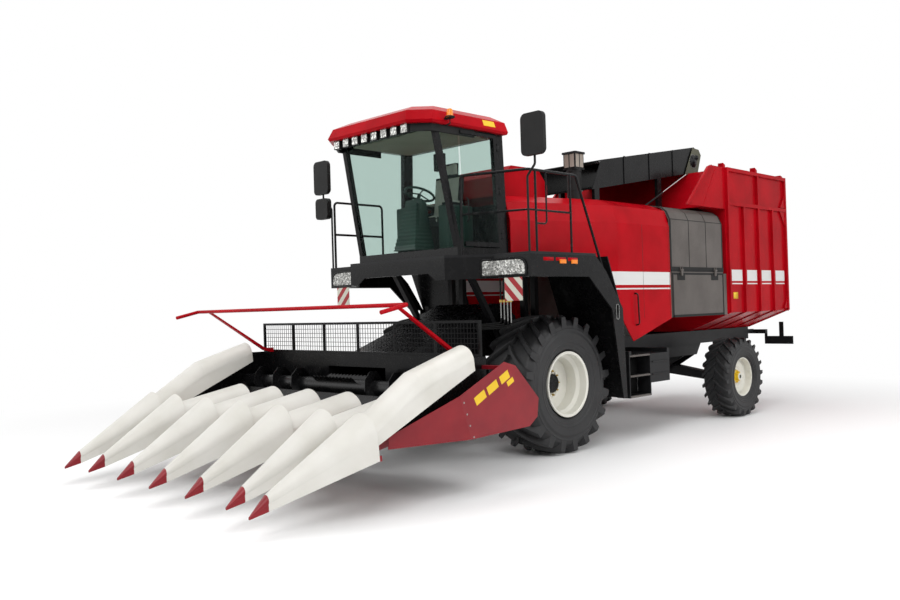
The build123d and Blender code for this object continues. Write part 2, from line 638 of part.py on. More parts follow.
def leaning(piece):
    """Tilt a piece drawn upright against the cab's side so that it follows the post's lean."""
    lean = degrees(atan2(CAB_X - CAB_TOP_X, CAB_TOP_Z - CAB_SILL_Z))
    return Pos(CAB_X, 0, CAB_SILL_Z) * Rot(0, -lean, 0) * Pos(-CAB_X, 0, -CAB_SILL_Z) * piece


def door_hinges(of_door):
    """Knuckles of the door's three hinges; the pins belong to the cab's post."""
    pieces = []
    ax, ay, r = DOOR_AXIS_X, DOOR_AXIS_Y, DOOR_PIN_R
    for z in DOOR_HINGES:
        if of_door:
            knuckle = bar((ax, ay, z - 25), (ax, ay, z + 25), r + 8).fuse(box(ax - 8, ax + 8, -620, ay, z - 25, z + 25))
            pieces.append(knuckle - bar((ax, ay, z - 30), (ax, ay, z + 30), r + RUN_GAP))
        else:
            pieces.append(bar((ax, ay, z - 45), (ax, ay, z + 45), r))
            for dz in (-45, 30):
                pieces.append(box(CAB_X - 5, ax + 8, ay - 8, ay + 30, z + dz, z + dz + 15))
    return pieces


def cab_door():
    """The left door: a slim frame hinged on the rear post, with a frameless front edge."""
    x0 = CAB_X + DOOR_GAP
    z0, z1 = CAB_SILL_Z + 10, CAB_TOP_Z - 10
    back, front = -620, DOOR_FRONT_Y
    pieces = [box(x0, x0 + 30, back - 50, back, z0, z1), box(x0, x0 + 30, front, back - 50, z0, z0 + 60),
              box(x0, x0 + 30, front, back - 50, z1 - 40, z1)] + door_hinges(True)
    save("cab_door", leaning(joined(pieces)))
    save("door_glass", leaning(box(x0 + 10, x0 + 18, front, back - 50, z0 + 60, z1 - 40)))


# Covers and hopper

def cover_section(y, x, low):
    """One section of a side cover: outer skin from the hem up and over, then back inside."""
    t = COVER_T
    top, crease = COVER_TOP_Z, COVER_CREASE_Z
    outer = [(x, low), (x, crease), (x - 70, top - 110), (x - COVER_TOP_IN, top)]
    inner = [(x - COVER_TOP_IN, top - t), (x - 78, top - 118), (x - t, crease), (x - t, low)]
    return [(px, y, pz) for px, pz in outer + inner]


def cover_x(y):
    """How far out the side cover stands at a place along the machine."""
    flare = (COVER_X - COVER_FRONT_X) / (COVER_SHOULDER_Y - COVER_FRONT_Y)
    return min(COVER_X, COVER_FRONT_X + flare * (y - COVER_FRONT_Y))


def side_covers():
    """Faceted engine-bay covers that flare out behind the cab."""
    stations = [(COVER_FRONT_Y, DECK_Z), (470, DECK_Z), (720, 2000), (COVER_SHOULDER_Y, 1800),
                (1600, COVER_LOW_Z), (COVER_BACK_Y, 1690)]
    save_pair("side_cover", ruled(*[cover_section(y, cover_x(y), low) for y, low in stations]))


def engine_deck():
    """The flat roof over the engine bay, between the covers' top flanges."""
    x0, x1 = COVER_FRONT_X - COVER_TOP_IN, COVER_X - COVER_TOP_IN
    outline = [(x0, COVER_FRONT_Y), (x1, COVER_SHOULDER_Y), (x1, HOPPER_Y0), (-x1, HOPPER_Y0),
               (-x1, COVER_SHOULDER_Y), (-x0, COVER_FRONT_Y)]
    save("engine_deck", plan_plate(outline, COVER_TOP_Z - COVER_T, COVER_TOP_Z))


def mesh_panels():
    """Cooling panels behind the covers; the lower half is a flap on two hinges."""
    t = COVER_T
    x, top = COVER_X, COVER_TOP_Z
    skin = [(x, MESH_SPLIT_Z + 20), (x, 3200), (x - 60, 3330), (x - 160, 3405), (x - COVER_TOP_IN, top),
            (x - COVER_TOP_IN, top - t), (x - 156, 3393), (x - 69, 3321), (x - t, 3197),
            (x - t, MESH_SPLIT_Z + 20)]
    panel = front_plate(skin, COVER_BACK_Y, MESH_Y1)
    hinge_bar = box(x - t - 30, x - t, COVER_BACK_Y, MESH_Y1, MESH_SPLIT_Z - 20, MESH_SPLIT_Z + 60)
    posts = [box(x - t - 40, x - t, COVER_BACK_Y, MESH_Y0 + 30, MESH_LOW_Z, MESH_SPLIT_Z - 20),
             box(x - t - 40, x - t, MESH_Y1 - 40, HOPPER_Y0, MESH_LOW_Z, MESH_SPLIT_Z - 20)]
    ax, az = FLAP_AXIS
    pieces = [panel, hinge_bar] + posts
    flap = [box(x - t + FLAP_GAP, x + FLAP_GAP, MESH_Y0, MESH_Y1 - 10, MESH_LOW_Z, MESH_SPLIT_Z)]
    for y in FLAP_HINGES:
        flap.append(box(x + FLAP_GAP, ax + 8, y - 20, y + 20, MESH_SPLIT_Z - 60, MESH_SPLIT_Z - 20))
        ear = side_plate([(y - 20, MESH_SPLIT_Z - 20), (y + 20, MESH_SPLIT_Z - 20), (y + 20, az), (y - 20, az)],
                         ax - 8, ax + 8)
        flap.append(ear)
        flap.append(bar((ax, y - 20, az), (ax, y + 20, az), FLAP_PIN_R + 8))
        for dy in (-34, 24):
            pieces.append(box(x, ax, y + dy, y + dy + 10, az - 8, az + 50))
            pieces.append(bar((ax, y + dy, az), (ax, y + dy + 10, az), FLAP_PIN_R + 8))
        pieces.append(bar((ax, y - 34, az), (ax, y + 34, az), FLAP_PIN_R))
    leaf = joined(flap)
    for y in FLAP_HINGES:
        leaf = leaf - bar((ax, y - 30, az), (ax, y + 30, az), FLAP_PIN_R + RUN_GAP)
    save_pair("mesh_panel", joined(pieces))
    save_pair("mesh_flap", leaf)


def hopper():
    """The ear hopper: ribbed walls, V bottom, raised front over the engine deck, open back."""
    t = HOPPER_T
    y0, y1 = HOPPER_Y0, HOPPER_Y1
    shoulder = COVER_TOP_Z + 20
    outer = [(y0, HOPPER_Z0), (y0, shoulder), (HOPPER_NOSE_Y, shoulder), (HOPPER_NOSE_Y + 430, 4090), (y0, 4090),
             (y0, HOPPER_TOP_Z), (y1, HOPPER_TOP_Z), (y1, HOPPER_Z0)]
    inner = [(y0 + t, HOPPER_Z0), (y0 + t, shoulder + t), (HOPPER_NOSE_Y + 24, shoulder + t), (HOPPER_NOSE_Y + 436, 4080),
             (HOPPER_NOSE_Y + 436, HOPPER_TOP_Z + 50), (y1 + 50, HOPPER_TOP_Z + 50), (y1 + 50, HOPPER_Z0)]
    body = side_plate(outer, -HOPPER_X, HOPPER_X) - side_plate(inner, -HOPPER_X + t, HOPPER_X - t)
    fx = HOPPER_FLOOR_X
    vee = [(-HOPPER_X, HOPPER_Z0), (-fx, HOPPER_FLOOR_Z), (fx, HOPPER_FLOOR_Z), (HOPPER_X, HOPPER_Z0),
           (HOPPER_X - t, HOPPER_Z0), (fx, HOPPER_FLOOR_Z + t), (-fx, HOPPER_FLOOR_Z + t),
           (-HOPPER_X + t, HOPPER_Z0)]
    cheek = [(-HOPPER_X + t, HOPPER_Z0), (-fx, HOPPER_FLOOR_Z + t), (fx, HOPPER_FLOOR_Z + t),
             (HOPPER_X - t, HOPPER_Z0)]
    pieces = [body, front_plate(vee, y0, y1), front_plate(cheek, y0, y0 + t)]
    for side in (1, -1):
        x0, x1 = side * HOPPER_X, side * (HOPPER_X + RIB)
        for index in range(5):
            y = y0 + 60 + index * (y1 - y0 - 120) / 4
            top = HOPPER_TOP_Z if index in (0, 2, 4) else HOPPER_MID_Z
            pieces.append(box(x0, x1, y - 25, y + 25, HOPPER_Z0, top))
            wedge = [(x0, HOPPER_Z0), (x1, HOPPER_Z0), (side * (fx + RIB), HOPPER_FLOOR_Z), (side * fx, HOPPER_FLOOR_Z)]
            pieces.append(front_plate(wedge, y - 25, y + 25))
        pieces.append(box(x0, x1, y0 + 35, y1 - 35, HOPPER_MID_Z - 30, HOPPER_MID_Z + 30))
        pieces.append(box(x0, x1, y0 + 35, y1 - 35, HOPPER_TOP_Z - 60, HOPPER_TOP_Z))
        pieces.append(box(side * (HOPPER_X - 60), side * (HOPPER_X - t), y1 - 40, y1, HOPPER_Z0, HOPPER_TOP_Z))
    rise = (CONV_Z1 - CONV_Z0) / (CONV_Y1 - CONV_Y0)
    notch = side_plate([(y, CONV_Z0 + rise * (y - CONV_Y0) + dz) for y, dz in ((3500, 0), (4300, 0), (4300, 600), (3500, 600))],
                       -CONV_X - 5, CONV_X + 5)
    pieces[0] = pieces[0] - notch
    lintel = box(-HOPPER_X + t, HOPPER_X - t, y1 - 60, y1, HOPPER_TOP_Z - 60, HOPPER_TOP_Z)
    ears = []
    for x in TAILGATE_EARS:
        ears.append(box(x - 12, x + 12, y1, GATE_PIVOT_Y + 30, GATE_PIVOT_Z - 30, HOPPER_TOP_Z))
    body = joined(pieces + [lintel] + ears)
    for x in TAILGATE_EARS:
        body = body - cross_bar(x - 40, x + 40, GATE_PIVOT_Y, GATE_PIVOT_Z, GATE_PIN_R + RUN_GAP)
    save("hopper", body)


def tailgate():
    """The rear door of the hopper with its frame and hinge lugs."""
    y = HOPPER_Y1 + 6
    x, z0, z1 = HOPPER_X - 10, HOPPER_Z0 - 20, GATE_PIVOT_Z - 50
    gate = [box(-x, x, y, y + 10, z0, z1)]
    for z in (z0 + 30, (z0 + z1) / 2, z1 - 30):
        gate.append(box(-x, x, y + 10, y + 45, z - 30, z + 30))
    for index in range(5):
        rib_x = -x + 30 + index * (2 * x - 60) / 4
        gate.append(box(rib_x - 30, rib_x + 30, y + 10, y + 45, z0, z1))
    for x in TAILGATE_EARS:
        for side in (1, -1):
            gate.append(box(x + side * 14, x + side * 30, y + 10, GATE_PIVOT_Y + 20, z1 - 40, GATE_PIVOT_Z + 20))
        gate.append(cross_bar(x - 34, x + 34, GATE_PIVOT_Y, GATE_PIVOT_Z, GATE_PIN_R))
    save("tailgate", joined(gate))


def conveyor():
    """The ear elevator rising from behind the cab into the hopper: floor, lid, side plates and legs."""
    t = 12
    rise = (CONV_Z1 - CONV_Z0) / (CONV_Y1 - CONV_Y0)
    tip = (CONV_Y1 + 220, CONV_Z1 + 310)
    top = (CONV_Y1, CONV_Z1 + CONV_H)
    start = (CONV_Y0 + 260, CONV_Z0 + CONV_H + 30)
    outline = [(CONV_Y0, CONV_Z0), (CONV_Y1, CONV_Z1), tip, top, start]
    sides = []
    for side in (1, -1):
        plate = side_plate(outline, side * (CONV_X - t), side * CONV_X)
        for y in (CONV_Y0 + 60, 3180):
            leg = [(y, COVER_TOP_Z), (y + 120, COVER_TOP_Z), (y + 120, CONV_Z0 + rise * (y + 120 - CONV_Y0)),
                   (y, CONV_Z0 + rise * (y - CONV_Y0))]
            plate = plate.fuse(side_plate(leg, side * (CONV_X - 50), side * CONV_X))
        for share in (0.28, 0.52, 0.76):
            y = CONV_Y0 + share * (CONV_Y1 - CONV_Y0)
            low, high = CONV_Z0 + rise * (y - CONV_Y0), CONV_Z0 + CONV_H + rise * (y - CONV_Y0)
            rib = [(y, low), (y + 40, low + rise * 40), (y + 40, high), (y, high)]
            plate = plate.fuse(side_plate(rib, side * CONV_X, side * (CONV_X + 12)))
        sides.append(plate)
    save("conveyor_sides", *sides)
    x = CONV_X - t
    floor = side_plate([(CONV_Y0, CONV_Z0), (CONV_Y1, CONV_Z1), (CONV_Y1, CONV_Z1 + t), (CONV_Y0, CONV_Z0 + t)], -x, x)
    lid = side_plate([start, top, tip, (tip[0] - 16, tip[1] - 6), (top[0] - 4, top[1] - t), (start[0], start[1] - t)], -x, x)
    save("conveyor_trough", floor, lid)


def air_intake():
    """The engine's air stack with its square lantern, beside the housing behind the cab."""
    x, y, z = INTAKE_X, INTAKE_Y, COVER_TOP_Z
    pieces = [bar((x, y, z), (x, y, z + 470), 85), box(x - 110, x + 110, y - 110, y + 110, z + 470, z + 500),
              box(x - 120, x + 120, y - 120, y + 120, z + 700, z + 730)]
    for dx in (-105, 90):
        for dy in (-105, 90):
            pieces.append(box(x + dx, x + dx + 15, y + dy, y + dy + 15, z + 500, z + 700))
    for index in range(3):
        level = z + 545 + index * 50
        pieces.append(box(x - 105, x + 105, y - 105, y + 105, level, level + 12))
    pieces.append(bar((x, y, z + 500), (x, y, z + 700), 40))
    save("air_intake", joined(pieces))


def cooling_housing():
    """The faceted sheet housing behind the cab."""
    z = COVER_TOP_Z
    outline = [(-40, z), (-40, z + 330), (120, z + 470), (700, z + 470), (900, z + 250), (900, z)]
    save("cooling_housing", side_plate(outline, -420, 560))


def mirrors():
    """Two mirrors in rounded cases on bent arms; the right one has a small lower mirror."""
    y = DECK_FRONT_Y - 10
    arm = pipe([(1900, DECK_FRONT_Y + 24, DECK_Z), (1900, DECK_FRONT_Y + 24, 3480), (2050, y, 3600), (2050, y, 3705)], 14, 50)
    head = box(1880, 2220, y - 45, y + 35, 3700, 4200)
    head = fillet(head.edges().filter_by(Axis.Y), 70)
    head = chamfer(head.edges().group_by(Axis.Y)[-1], 25)
    left = joined([arm, head])
    small = box(1905, 2195, y - 45, y + 35, 3330, 3640)
    small = fillet(small.edges().filter_by(Axis.Y), 60)
    save("mirrors", left, across(joined([arm, head, small])))


def rear_lamp_bar():
    """The cross bar behind the hopper, its brackets, end plates and lamp posts."""
    y0 = RAIL_REAR_Y
    pieces = []
    for side in (1, -1):
        pieces.append(box(side * 650, side * 710, y0, TAIL_Y - 100, 1290, 1370))
    pieces.append(box(-950, 950, TAIL_Y - 100, TAIL_Y - 40, 1280, 1360))
    for side in (1, -1):
        pieces.append(box(side * 900, side * 1450, TAIL_Y - 40, TAIL_Y - 20, 1080, 1230))
        pieces.append(box(side * 900, side * 950, TAIL_Y - 40, TAIL_Y - 20, 1230, 1360))
        pieces.append(box(side * 1180, side * 1260, TAIL_Y - 20, TAIL_Y, 1120, 1500))
    save("rear_lamp_bar", joined(pieces))


# Header

def feeder_house():
    """The feeder channel from the header's throat up to its pivot shaft."""
    w, t = FEEDER_W / 2, 8
    y, z = FEEDER_PIVOT_Y, FEEDER_PIVOT_Z
    top = [(THROAT_Y, THROAT_Z1), (y - 150, z + 230), (y + 150, z + 200), (y + 180, z - 120),
           (y - 100, z - 270), (THROAT_Y, THROAT_Z0)]
    hollow = [(THROAT_Y - 5, THROAT_Z1 - t), (y - 152, z + 222), (y + 250, z + 182), (y + 250, z - 108),
              (y - 96, z - 262), (THROAT_Y - 5, THROAT_Z0 + t)]
    body = side_plate(top, -w, w) - side_plate(hollow, -w + t, w - t)
    flange = box(-w - 70, w + 70, THROAT_Y, THROAT_Y + 12, THROAT_Z0 - 30, THROAT_Z1 + 30)
    mouth = box(-w + t, w - t, THROAT_Y - 1, THROAT_Y + 13, THROAT_Z0 + t, THROAT_Z1 - t)
    pieces = [body, flange - mouth]
    for side in (1, -1):
        pieces.append(cross_bar(side * w, side * (RAIL_X + 20), y, z, FEEDER_PIVOT_R))
        boss = [(y - 90, z - 90), (y - 90, z + 90), (y + 90, z + 90), (y + 90, z - 90)]
        pieces.append(side_plate(boss, side * w, side * (w + 20)))
    for side in (1, -1):
        for dx in (-55, 35):
            x0 = side * LIFT_X + dx
            ear = [(LIFT_EYE_Y - 60, LIFT_EYE_Z - 45), (LIFT_EYE_Y + 60, LIFT_EYE_Z - 45),
                   (LIFT_EYE_Y + 90, LIFT_EYE_Z + 340), (LIFT_EYE_Y - 90, LIFT_EYE_Z + 340)]
            plate = side_plate(ear, x0, x0 + 20) - side_plate(top, -w, w)
            hole = cross_bar(x0 - 5, x0 + 25, LIFT_EYE_Y, LIFT_EYE_Z, LIFT_PIN_R + EYE_DRIFT)
            pieces.append(plate - hole)
    save("feeder_house", joined(pieces))


def header_frame():
    """Trough round the auger with end plates, throat and the top beam."""
    t = TROUGH_T
    y, z, r = AUGER_Y, AUGER_Z, TROUGH_R
    inner, outer = [], []
    for index in range(13):
        turn = pi + pi * index / 12
        inner.append((y + cos(turn) * r, z - 40 + sin(turn) * r))
        outer.append((y + cos(turn) * (r + t), z - 40 + sin(turn) * (r + t)))
    lip = [(y - r - 10, z - 72), (BEAM_Y0 + 62, BEAM_Z1)]
    outline = [(BEAM_Y0 + 48, BEAM_Z1)] + inner + [(y + r, 1300), (y + r + t, 1300)] + outer[:0:-1] + lip
    shell = side_plate(outline, -HEAD_X, HEAD_X)
    throat = box(-THROAT_W / 2, THROAT_W / 2, HEAD_BACK_Y - 100, HEAD_BACK_Y + 100, THROAT_Z0 + 20, THROAT_Z1 - 40)
    pieces = [shell - throat]
    beam_top, beam_low = SCREEN_Z0 - 30, 1300
    back = HEAD_BACK_Y + 100
    pieces.append(box(-HEAD_X, HEAD_X, HEAD_BACK_Y, back, beam_low, beam_top))
    pieces.append(box(-HEAD_X, HEAD_X, HEAD_BACK_Y + t, back, 620, THROAT_Z0))
    for x in (-HEAD_X, -THROAT_W / 2 - 80, THROAT_W / 2, HEAD_X - 80):
        pieces.append(box(x, x + 80, HEAD_BACK_Y + t, back, THROAT_Z0, beam_low))
    end = [(back, 620), (back, beam_top), (HEAD_BACK_Y - 160, beam_top), (HOOD_REAR_Y, HOOD_REAR_Z + HOOD_REAR_H - HOOD_T - SEAT_GAP),
           (HOOD_KINK_Y, HOOD_KINK_Z + HOOD_KINK_H - HOOD_T - SEAT_GAP), (-3600, 860), (-3600, 700), (BEAM_Y0, 620)]
    for side in (1, -1):
        plate = side_plate(end, side * HEAD_X, side * (HEAD_X + t))
        hole = cross_bar(side * (HEAD_X - 20), side * (HEAD_X + 40), y, z, AUGER_STUB_R + RUN_GAP)
        pieces.append(plate - hole)
    pieces.append(box(-HEAD_X, HEAD_X, BEAM_Y0, BEAM_Y0 + 80, BEAM_Z0, BEAM_Z1))
    for side in (1, -1):
        for x in (HEAD_X - 120, 1200, 600):
            keel = [(BEAM_Y0 + 80, BEAM_Z0), (BEAM_Y0 + 80, BEAM_Z0 + 60), (HEAD_BACK_Y + t, 690), (HEAD_BACK_Y + t, 630)]
            pieces.append(side_plate(keel, side * x, side * (x + 30)))
    save("header_frame", joined(pieces))


def header_screen():
    """The wire screen over the header's back, in its frame with uprights."""
    y0, y1 = HEAD_BACK_Y + 30, HEAD_BACK_Y + 60
    z0, z1 = SCREEN_Z0 - 30, SCREEN_Z1
    x = HEAD_X
    pieces = [box(-x, x, y0, y1, z1 - 30, z1), box(-x, x, y0, y1, z0, z0 + 30)]
    for index in range(7):
        post = -x + index * (2 * x - 25) / 6
        pieces.append(box(post, post + 25, y0, y1, z0 + 30, z1 - 30))
    for index in range(1, 6):
        z = z0 + 30 + index * (z1 - z0 - 60) / 6
        pieces.append(box(-x, x, y0 + 12, y0 + 18, z - 3, z + 3))
    save("header_screen", joined(pieces))


def auger():
    """The cross auger: tube, left and right hand flights and the saw-toothed centre paddles."""
    y, z = AUGER_Y, AUGER_Z
    half = HEAD_X - 20
    tube = bar((-half, y, z), (half, y, z), AUGER_TUBE_R)
    pieces = [tube, bar((-HEAD_X - 8, y, z), (HEAD_X + 8, y, z), AUGER_STUB_R)]
    pitch, t, steps = 420, 8, 10
    turns = 3.5
    for side in (1, -1):
        start = 520
        count = int(turns * steps)
        previous = None
        for index in range(count):
            a0 = 2 * pi * index / steps
            a1 = 2 * pi * (index + 1) / steps
            x0 = start + pitch * index / steps
            x1 = start + pitch * (index + 1) / steps
            rings = []
            for x, a in ((x0, a0), (x1, a1)):
                c, s = cos(a), sin(a) * side
                rings.append([(side * x, y + c * r, z + s * r) for r in (AUGER_TUBE_R - 6, AUGER_R)]
                             + [(side * (x + t), y + c * r, z + s * r) for r in (AUGER_R, AUGER_TUBE_R - 6)])
            pieces.append(ruled(*rings))
    for turn in (45, 135, 225, 315):
        a = radians(turn)
        c, s = cos(a), sin(a)
        comb = []
        teeth = 12
        width = 2 * 400 / teeth
        outline = [(-400, AUGER_TUBE_R - 6)]
        for index in range(teeth):
            outline += [(-400 + index * width, 175), (-400 + (index + 0.8) * width, 205)]
        outline += [(400, 175), (400, AUGER_TUBE_R - 6)]
        face = make_face(Polyline([(x, y + c * r - s * -4, z + s * r + c * -4) for x, r in outline], close=True))
        pieces.append(Solid.extrude(face.face(), Vector(0, -s * 8, c * 8)))
    save("header_auger", joined(pieces))


def arch(x, y, z, half, rise):
    """A closed arched section: flat underside at z, sides up and an arc over the top."""
    left, right = (x - half, y, z), (x + half, y, z)
    spring = z + rise * 0.45
    crown = z + rise
    edges = [Edge.make_line(right, (x + half * 0.93, y, spring)),
             Edge.make_three_point_arc((x + half * 0.93, y, spring), (x, y, crown), (x - half * 0.93, y, spring)),
             Edge.make_line((x - half * 0.93, y, spring), left), Edge.make_line(left, right)]
    return Wire(edges)


def snouts():
    """Seven plastic snouts that part the rows, hollow underneath, and their steel tips."""
    bodies, tips = [], []
    for index in range(ROWS + 1):
        x = (index - ROWS / 2) * ROW_PITCH
        tip_x, tip_y, half = x, SNOUT_TIP_Y, 265
        if index in (0, ROWS):
            side = 1 if x > 0 else -1
            tip_x, tip_y, x, half = side * OUTER_TIP_X, TIP_Y, side * HOOD_X, 262
        neck_y = tip_y + 170
        t = SHELL_T
        rear = arch(x, SNOUT_REAR_Y, 560, half, 425)
        neck = arch(tip_x, neck_y, 235, 48, 140)
        rear_in = arch(x, SNOUT_REAR_Y + 0.1, 560 - 0.1, half - t, 425 - t)
        neck_in = arch(tip_x, neck_y + 30, 235 - 0.1, 48 - t + 6, 140 - t + 5)
        bodies.append(Solid.make_loft([neck, rear], ruled=True) - Solid.make_loft([neck_in, rear_in], ruled=True))
        point = arch(tip_x, tip_y, 190, 10, 25)
        tips.append(Solid.make_loft([point, arch(tip_x, neck_y, 235, 48, 140)], ruled=True))
    save("snouts", *bodies)
    save("snout_tips", *tips)


def row_floor_z(y):
    """Height of the row units' top face under the hoods."""
    return ROW_FRONT_Z + (ROW_REAR_Z - ROW_FRONT_Z) * (y - HOOD_FRONT_Y) / (ROW_HOOD_REAR_Y - HOOD_FRONT_Y)


def shell_between(stations, t):
    """A hollow hood, open below and at both ends, through (x, y, z, half width, rise) stations."""
    skin = Solid.make_loft([arch(*station) for station in stations], ruled=True)
    inner = [(x, y, z - 0.1, half - t, rise - t) for x, y, z, half, rise in stations]
    first, last = inner[0], inner[-1]
    inner[0] = (first[0], first[1] - 0.1, *first[2:])
    inner[-1] = (last[0], last[1] + 0.1, *last[2:])
    return skin - Solid.make_loft([arch(*station) for station in inner], ruled=True)


def hoods():
    """Low hoods between the rows behind the inner snouts and the tall hoods at both ends."""
    low = []
    for index in range(1, ROWS):
        x = (index - ROWS / 2) * ROW_PITCH
        low.append(shell_between([(x, HOOD_FRONT_Y, ROW_FRONT_Z, 212, 245),
                                  (x, ROW_HOOD_REAR_Y, ROW_REAR_Z, 250, 240)], HOOD_T))
    save("row_hoods", *low)
    tall = shell_between([(HOOD_X, HOOD_FRONT_Y, 640, 190, 250), (HOOD_X, HOOD_KINK_Y, HOOD_KINK_Z, 200, HOOD_KINK_H),
                          (HOOD_X, HOOD_REAR_Y, HOOD_REAR_Z, 195, HOOD_REAR_H)], HOOD_T)
    save("outer_hoods", tall, across(tall))


def side_shields():
    """Folded sheet shields over the header's drives at both ends."""
    t = 6
    x0, x1 = SHIELD_FRONT_X, SHIELD_X
    front = ruled(((x0, -3700, 620), (x0, -3690, 740), (x0 - t, -3690, 740), (x0 - t, -3700, 620)),
                  ((x1, -2750, 610), (x1, -2900, 1060), (x1 - t, -2900, 1060), (x1 - t, -2750, 610)))
    rear = side_plate([(-2750, 610), (-2900, 1060), (-2220, 1360), (-2040, 1310), (-1670, 930), (-1700, 730),
                       (-1830, 640)], x1 - t, x1)
    flange = ruled(((x1 - t, -2900, 1054), (x1, -2900, 1060), (HEAD_X + 120, -3060, 1070), (HEAD_X + 120, -3060, 1064)),
                   ((x1 - t, -2220, 1354), (x1, -2220, 1360), (HEAD_X + 120, -2280, 1420), (HEAD_X + 120, -2280, 1414)))
    tie = [flange]
    for y, z in ((-2260, 1280), (-2260, 700)):
        tie.append(box(HEAD_X + TROUGH_T, x1 - t, y, y + 60, z, z + 40))
    shield = joined([front, rear] + tie)
    save("side_shields", shield, across(shield))


def deflector_bar():
    """The stalk deflector: cross tube with bent ends on two sloping arms."""
    r = 22
    pieces = [cross_bar(-BAR_X, BAR_X, BAR_Y, BAR_Z, r)]
    for side in (1, -1):
        x = side * BAR_X
        pieces.append(bar((x, BAR_Y, BAR_Z), (side * (BAR_X - 20), BAR_Y - 320, BAR_Z - 70), r))
        a0, a1 = side * (HEAD_X - 262), side * (HEAD_X - 212)
        arm = [(BAR_Y - 10, BAR_Z + 20), (BAR_Y + 40, BAR_Z + 10), (-2400, 1470), (-2420, 1440)]
        pieces.append(side_plate(arm, a0, a1))
        foot = [(-2420, 1440), (-2400, 1470), (HEAD_BACK_Y + 20, 1470), (HEAD_BACK_Y + 20, SCREEN_Z0 - 30),
                (HEAD_BACK_Y - 20, SCREEN_Z0 - 30)]
        pieces.append(side_plate(foot, a0, a1))
    save("deflector_bar", joined(pieces))


def row_units():
    """Row units: side arms, stripper plates and stalk rolls each side of the stalk gap, snout bearers."""
    units = []
    front, rear = SNOUT_REAR_Y + 30, BEAM_Y0
    z0, z1 = row_floor_z(front), row_floor_z(rear)
    for index in range(ROWS):
        x = (index - (ROWS - 1) / 2) * ROW_PITCH
        for side in (1, -1):
            arm = side_plate([(front, z0), (rear, z1), (rear, z1 - 90), (front, z0 - 60)],
                             x + side * 105, x + side * 170)
            deck = side_plate([(front, z0 - 30), (rear, z1 - 30), (rear, z1 - 42), (front, z0 - 42)],
                              x + side * 22, x + side * 105)
            roll = bar((x + side * 60, front + 60, z0 - 85), (x + side * 60, rear - 60, z1 - 100), 30)
            units.append(joined([arm, deck, roll]))
        units.append(box(x - 150, x + 150, rear - 140, rear, z1 - 160, z1 - 50))
    for index in range(ROWS + 1):
        x = (index - ROWS / 2) * ROW_PITCH
        half = 262
        if index in (0, ROWS):
            x = HOOD_X if x > 0 else -HOOD_X
            half = 258
        units.append(box(x - half, x + half, SNOUT_REAR_Y, SNOUT_REAR_Y + 30, 555, 606))
    save("row_units", joined(units))


def lift_cylinders():
    """Two rams under the feeder: barrels pinned to the axle, rods with an eye at the feeder's ears."""
    y0, z0, y1, z1 = LIFT_BASE_Y, LIFT_BASE_Z, LIFT_EYE_Y, LIFT_EYE_Z
    length = hypot(y1 - y0, z1 - z0)
    uy, uz = (y1 - y0) / length, (z1 - z0) / length

    def at(distance, x):
        return (x, y0 + uy * distance, z0 + uz * distance)

    barrels, rods = [], []
    for x in (LIFT_X, -LIFT_X):
        tube = bar(at(110, x), at(980, x), LIFT_BARREL_R) - bar(at(200, x), at(990, x), LIFT_ROD_R + RUN_GAP)
        lug = cross_bar(x - 27, x + 27, y0, z0, LIFT_PIN_R + 18)
        neck = bar(at(0, x), at(120, x), 27)
        barrel = joined([tube, lug, neck]) - cross_bar(x - 40, x + 40, y0, z0, LIFT_PIN_R + RUN_GAP)
        barrels.append(barrel)
        rod = bar(at(560, x), at(length - 20, x), LIFT_ROD_R)
        eye = cross_bar(x - 30, x + 30, y1, z1, LIFT_PIN_R + 18)
        pin = cross_bar(x - 60, x + 60, y1, z1, LIFT_PIN_R)
        rods.append(joined([rod, eye, pin]))
    save("lift_barrels", *barrels)
    save("lift_rods", *rods)


def lamps():
    """Headlamps in the bumper, work lamps under the roof's visor, amber lamps and the beacon."""
    heads = []
    for side in (1, -1):
        y = DECK_FRONT_Y
        case = box(side * (DECK_SHOULDER_X + 70), side * (DECK_X - 70), y - 25, y, 2370, 2520)
        heads.append(chamfer(case.edges().group_by(Axis.Y)[0], 18))
    work = []
    for index in range(8):
        x = -665 + index * 190
        case = box(x - 55, x + 55, ROOF_FRONT_Y + 60, ROOF_FRONT_Y + 110, ROOF_Z0 - 105, ROOF_Z0)
        work.append(chamfer(case.edges().group_by(Axis.Y)[0], 10))
    save("lamps", *heads, *work)
    amber = []
    for side in (1, -1):
        for y in (-560, -330):
            amber.append(box(side * DECK_X, side * (DECK_X + 18), y - 60, y + 60, 2450, 2500))
    x, y, z = BEACON_X, BEACON_Y, BEACON_Z
    amber.append(bar((x, y, z), (x, y, z + 110), BEACON_R))
    save("amber_lamps", *amber)


def warning_plates():
    """Striped square plates beside the bumper."""
    plates = []
    for side in (1, -1):
        plates.append(box(side * 1510, side * 1790, DECK_FRONT_Y, DECK_FRONT_Y + 4, 2010, APRON_Z))
    save("warning_plates", *plates)


def driver_seat():
    """The driver's seat on its pedestal, with arm rests and head rest."""
    z = CAB_SILL_Z
    cushion = box(-250, 250, -1050, -560, z + 340, z + 460)
    back = side_plate([(-640, z + 440), (-560, z + 440), (-500, z + 1060), (-570, z + 1060)], -240, 240)
    head = side_plate([(-560, z + 1060), (-500, z + 1060), (-490, z + 1240), (-545, z + 1240)], -130, 130)
    pieces = [box(-170, 170, -960, -700, z, z + 340), fillet(cushion.edges().filter_by(Axis.Z), 60), back, head]
    for side in (1, -1):
        pieces.append(box(side * 240, side * 300, -940, -590, z + 620, z + 670))
        pieces.append(box(side * 240, side * 290, -640, -590, z + 400, z + 620))
    save("driver_seat", joined(pieces))


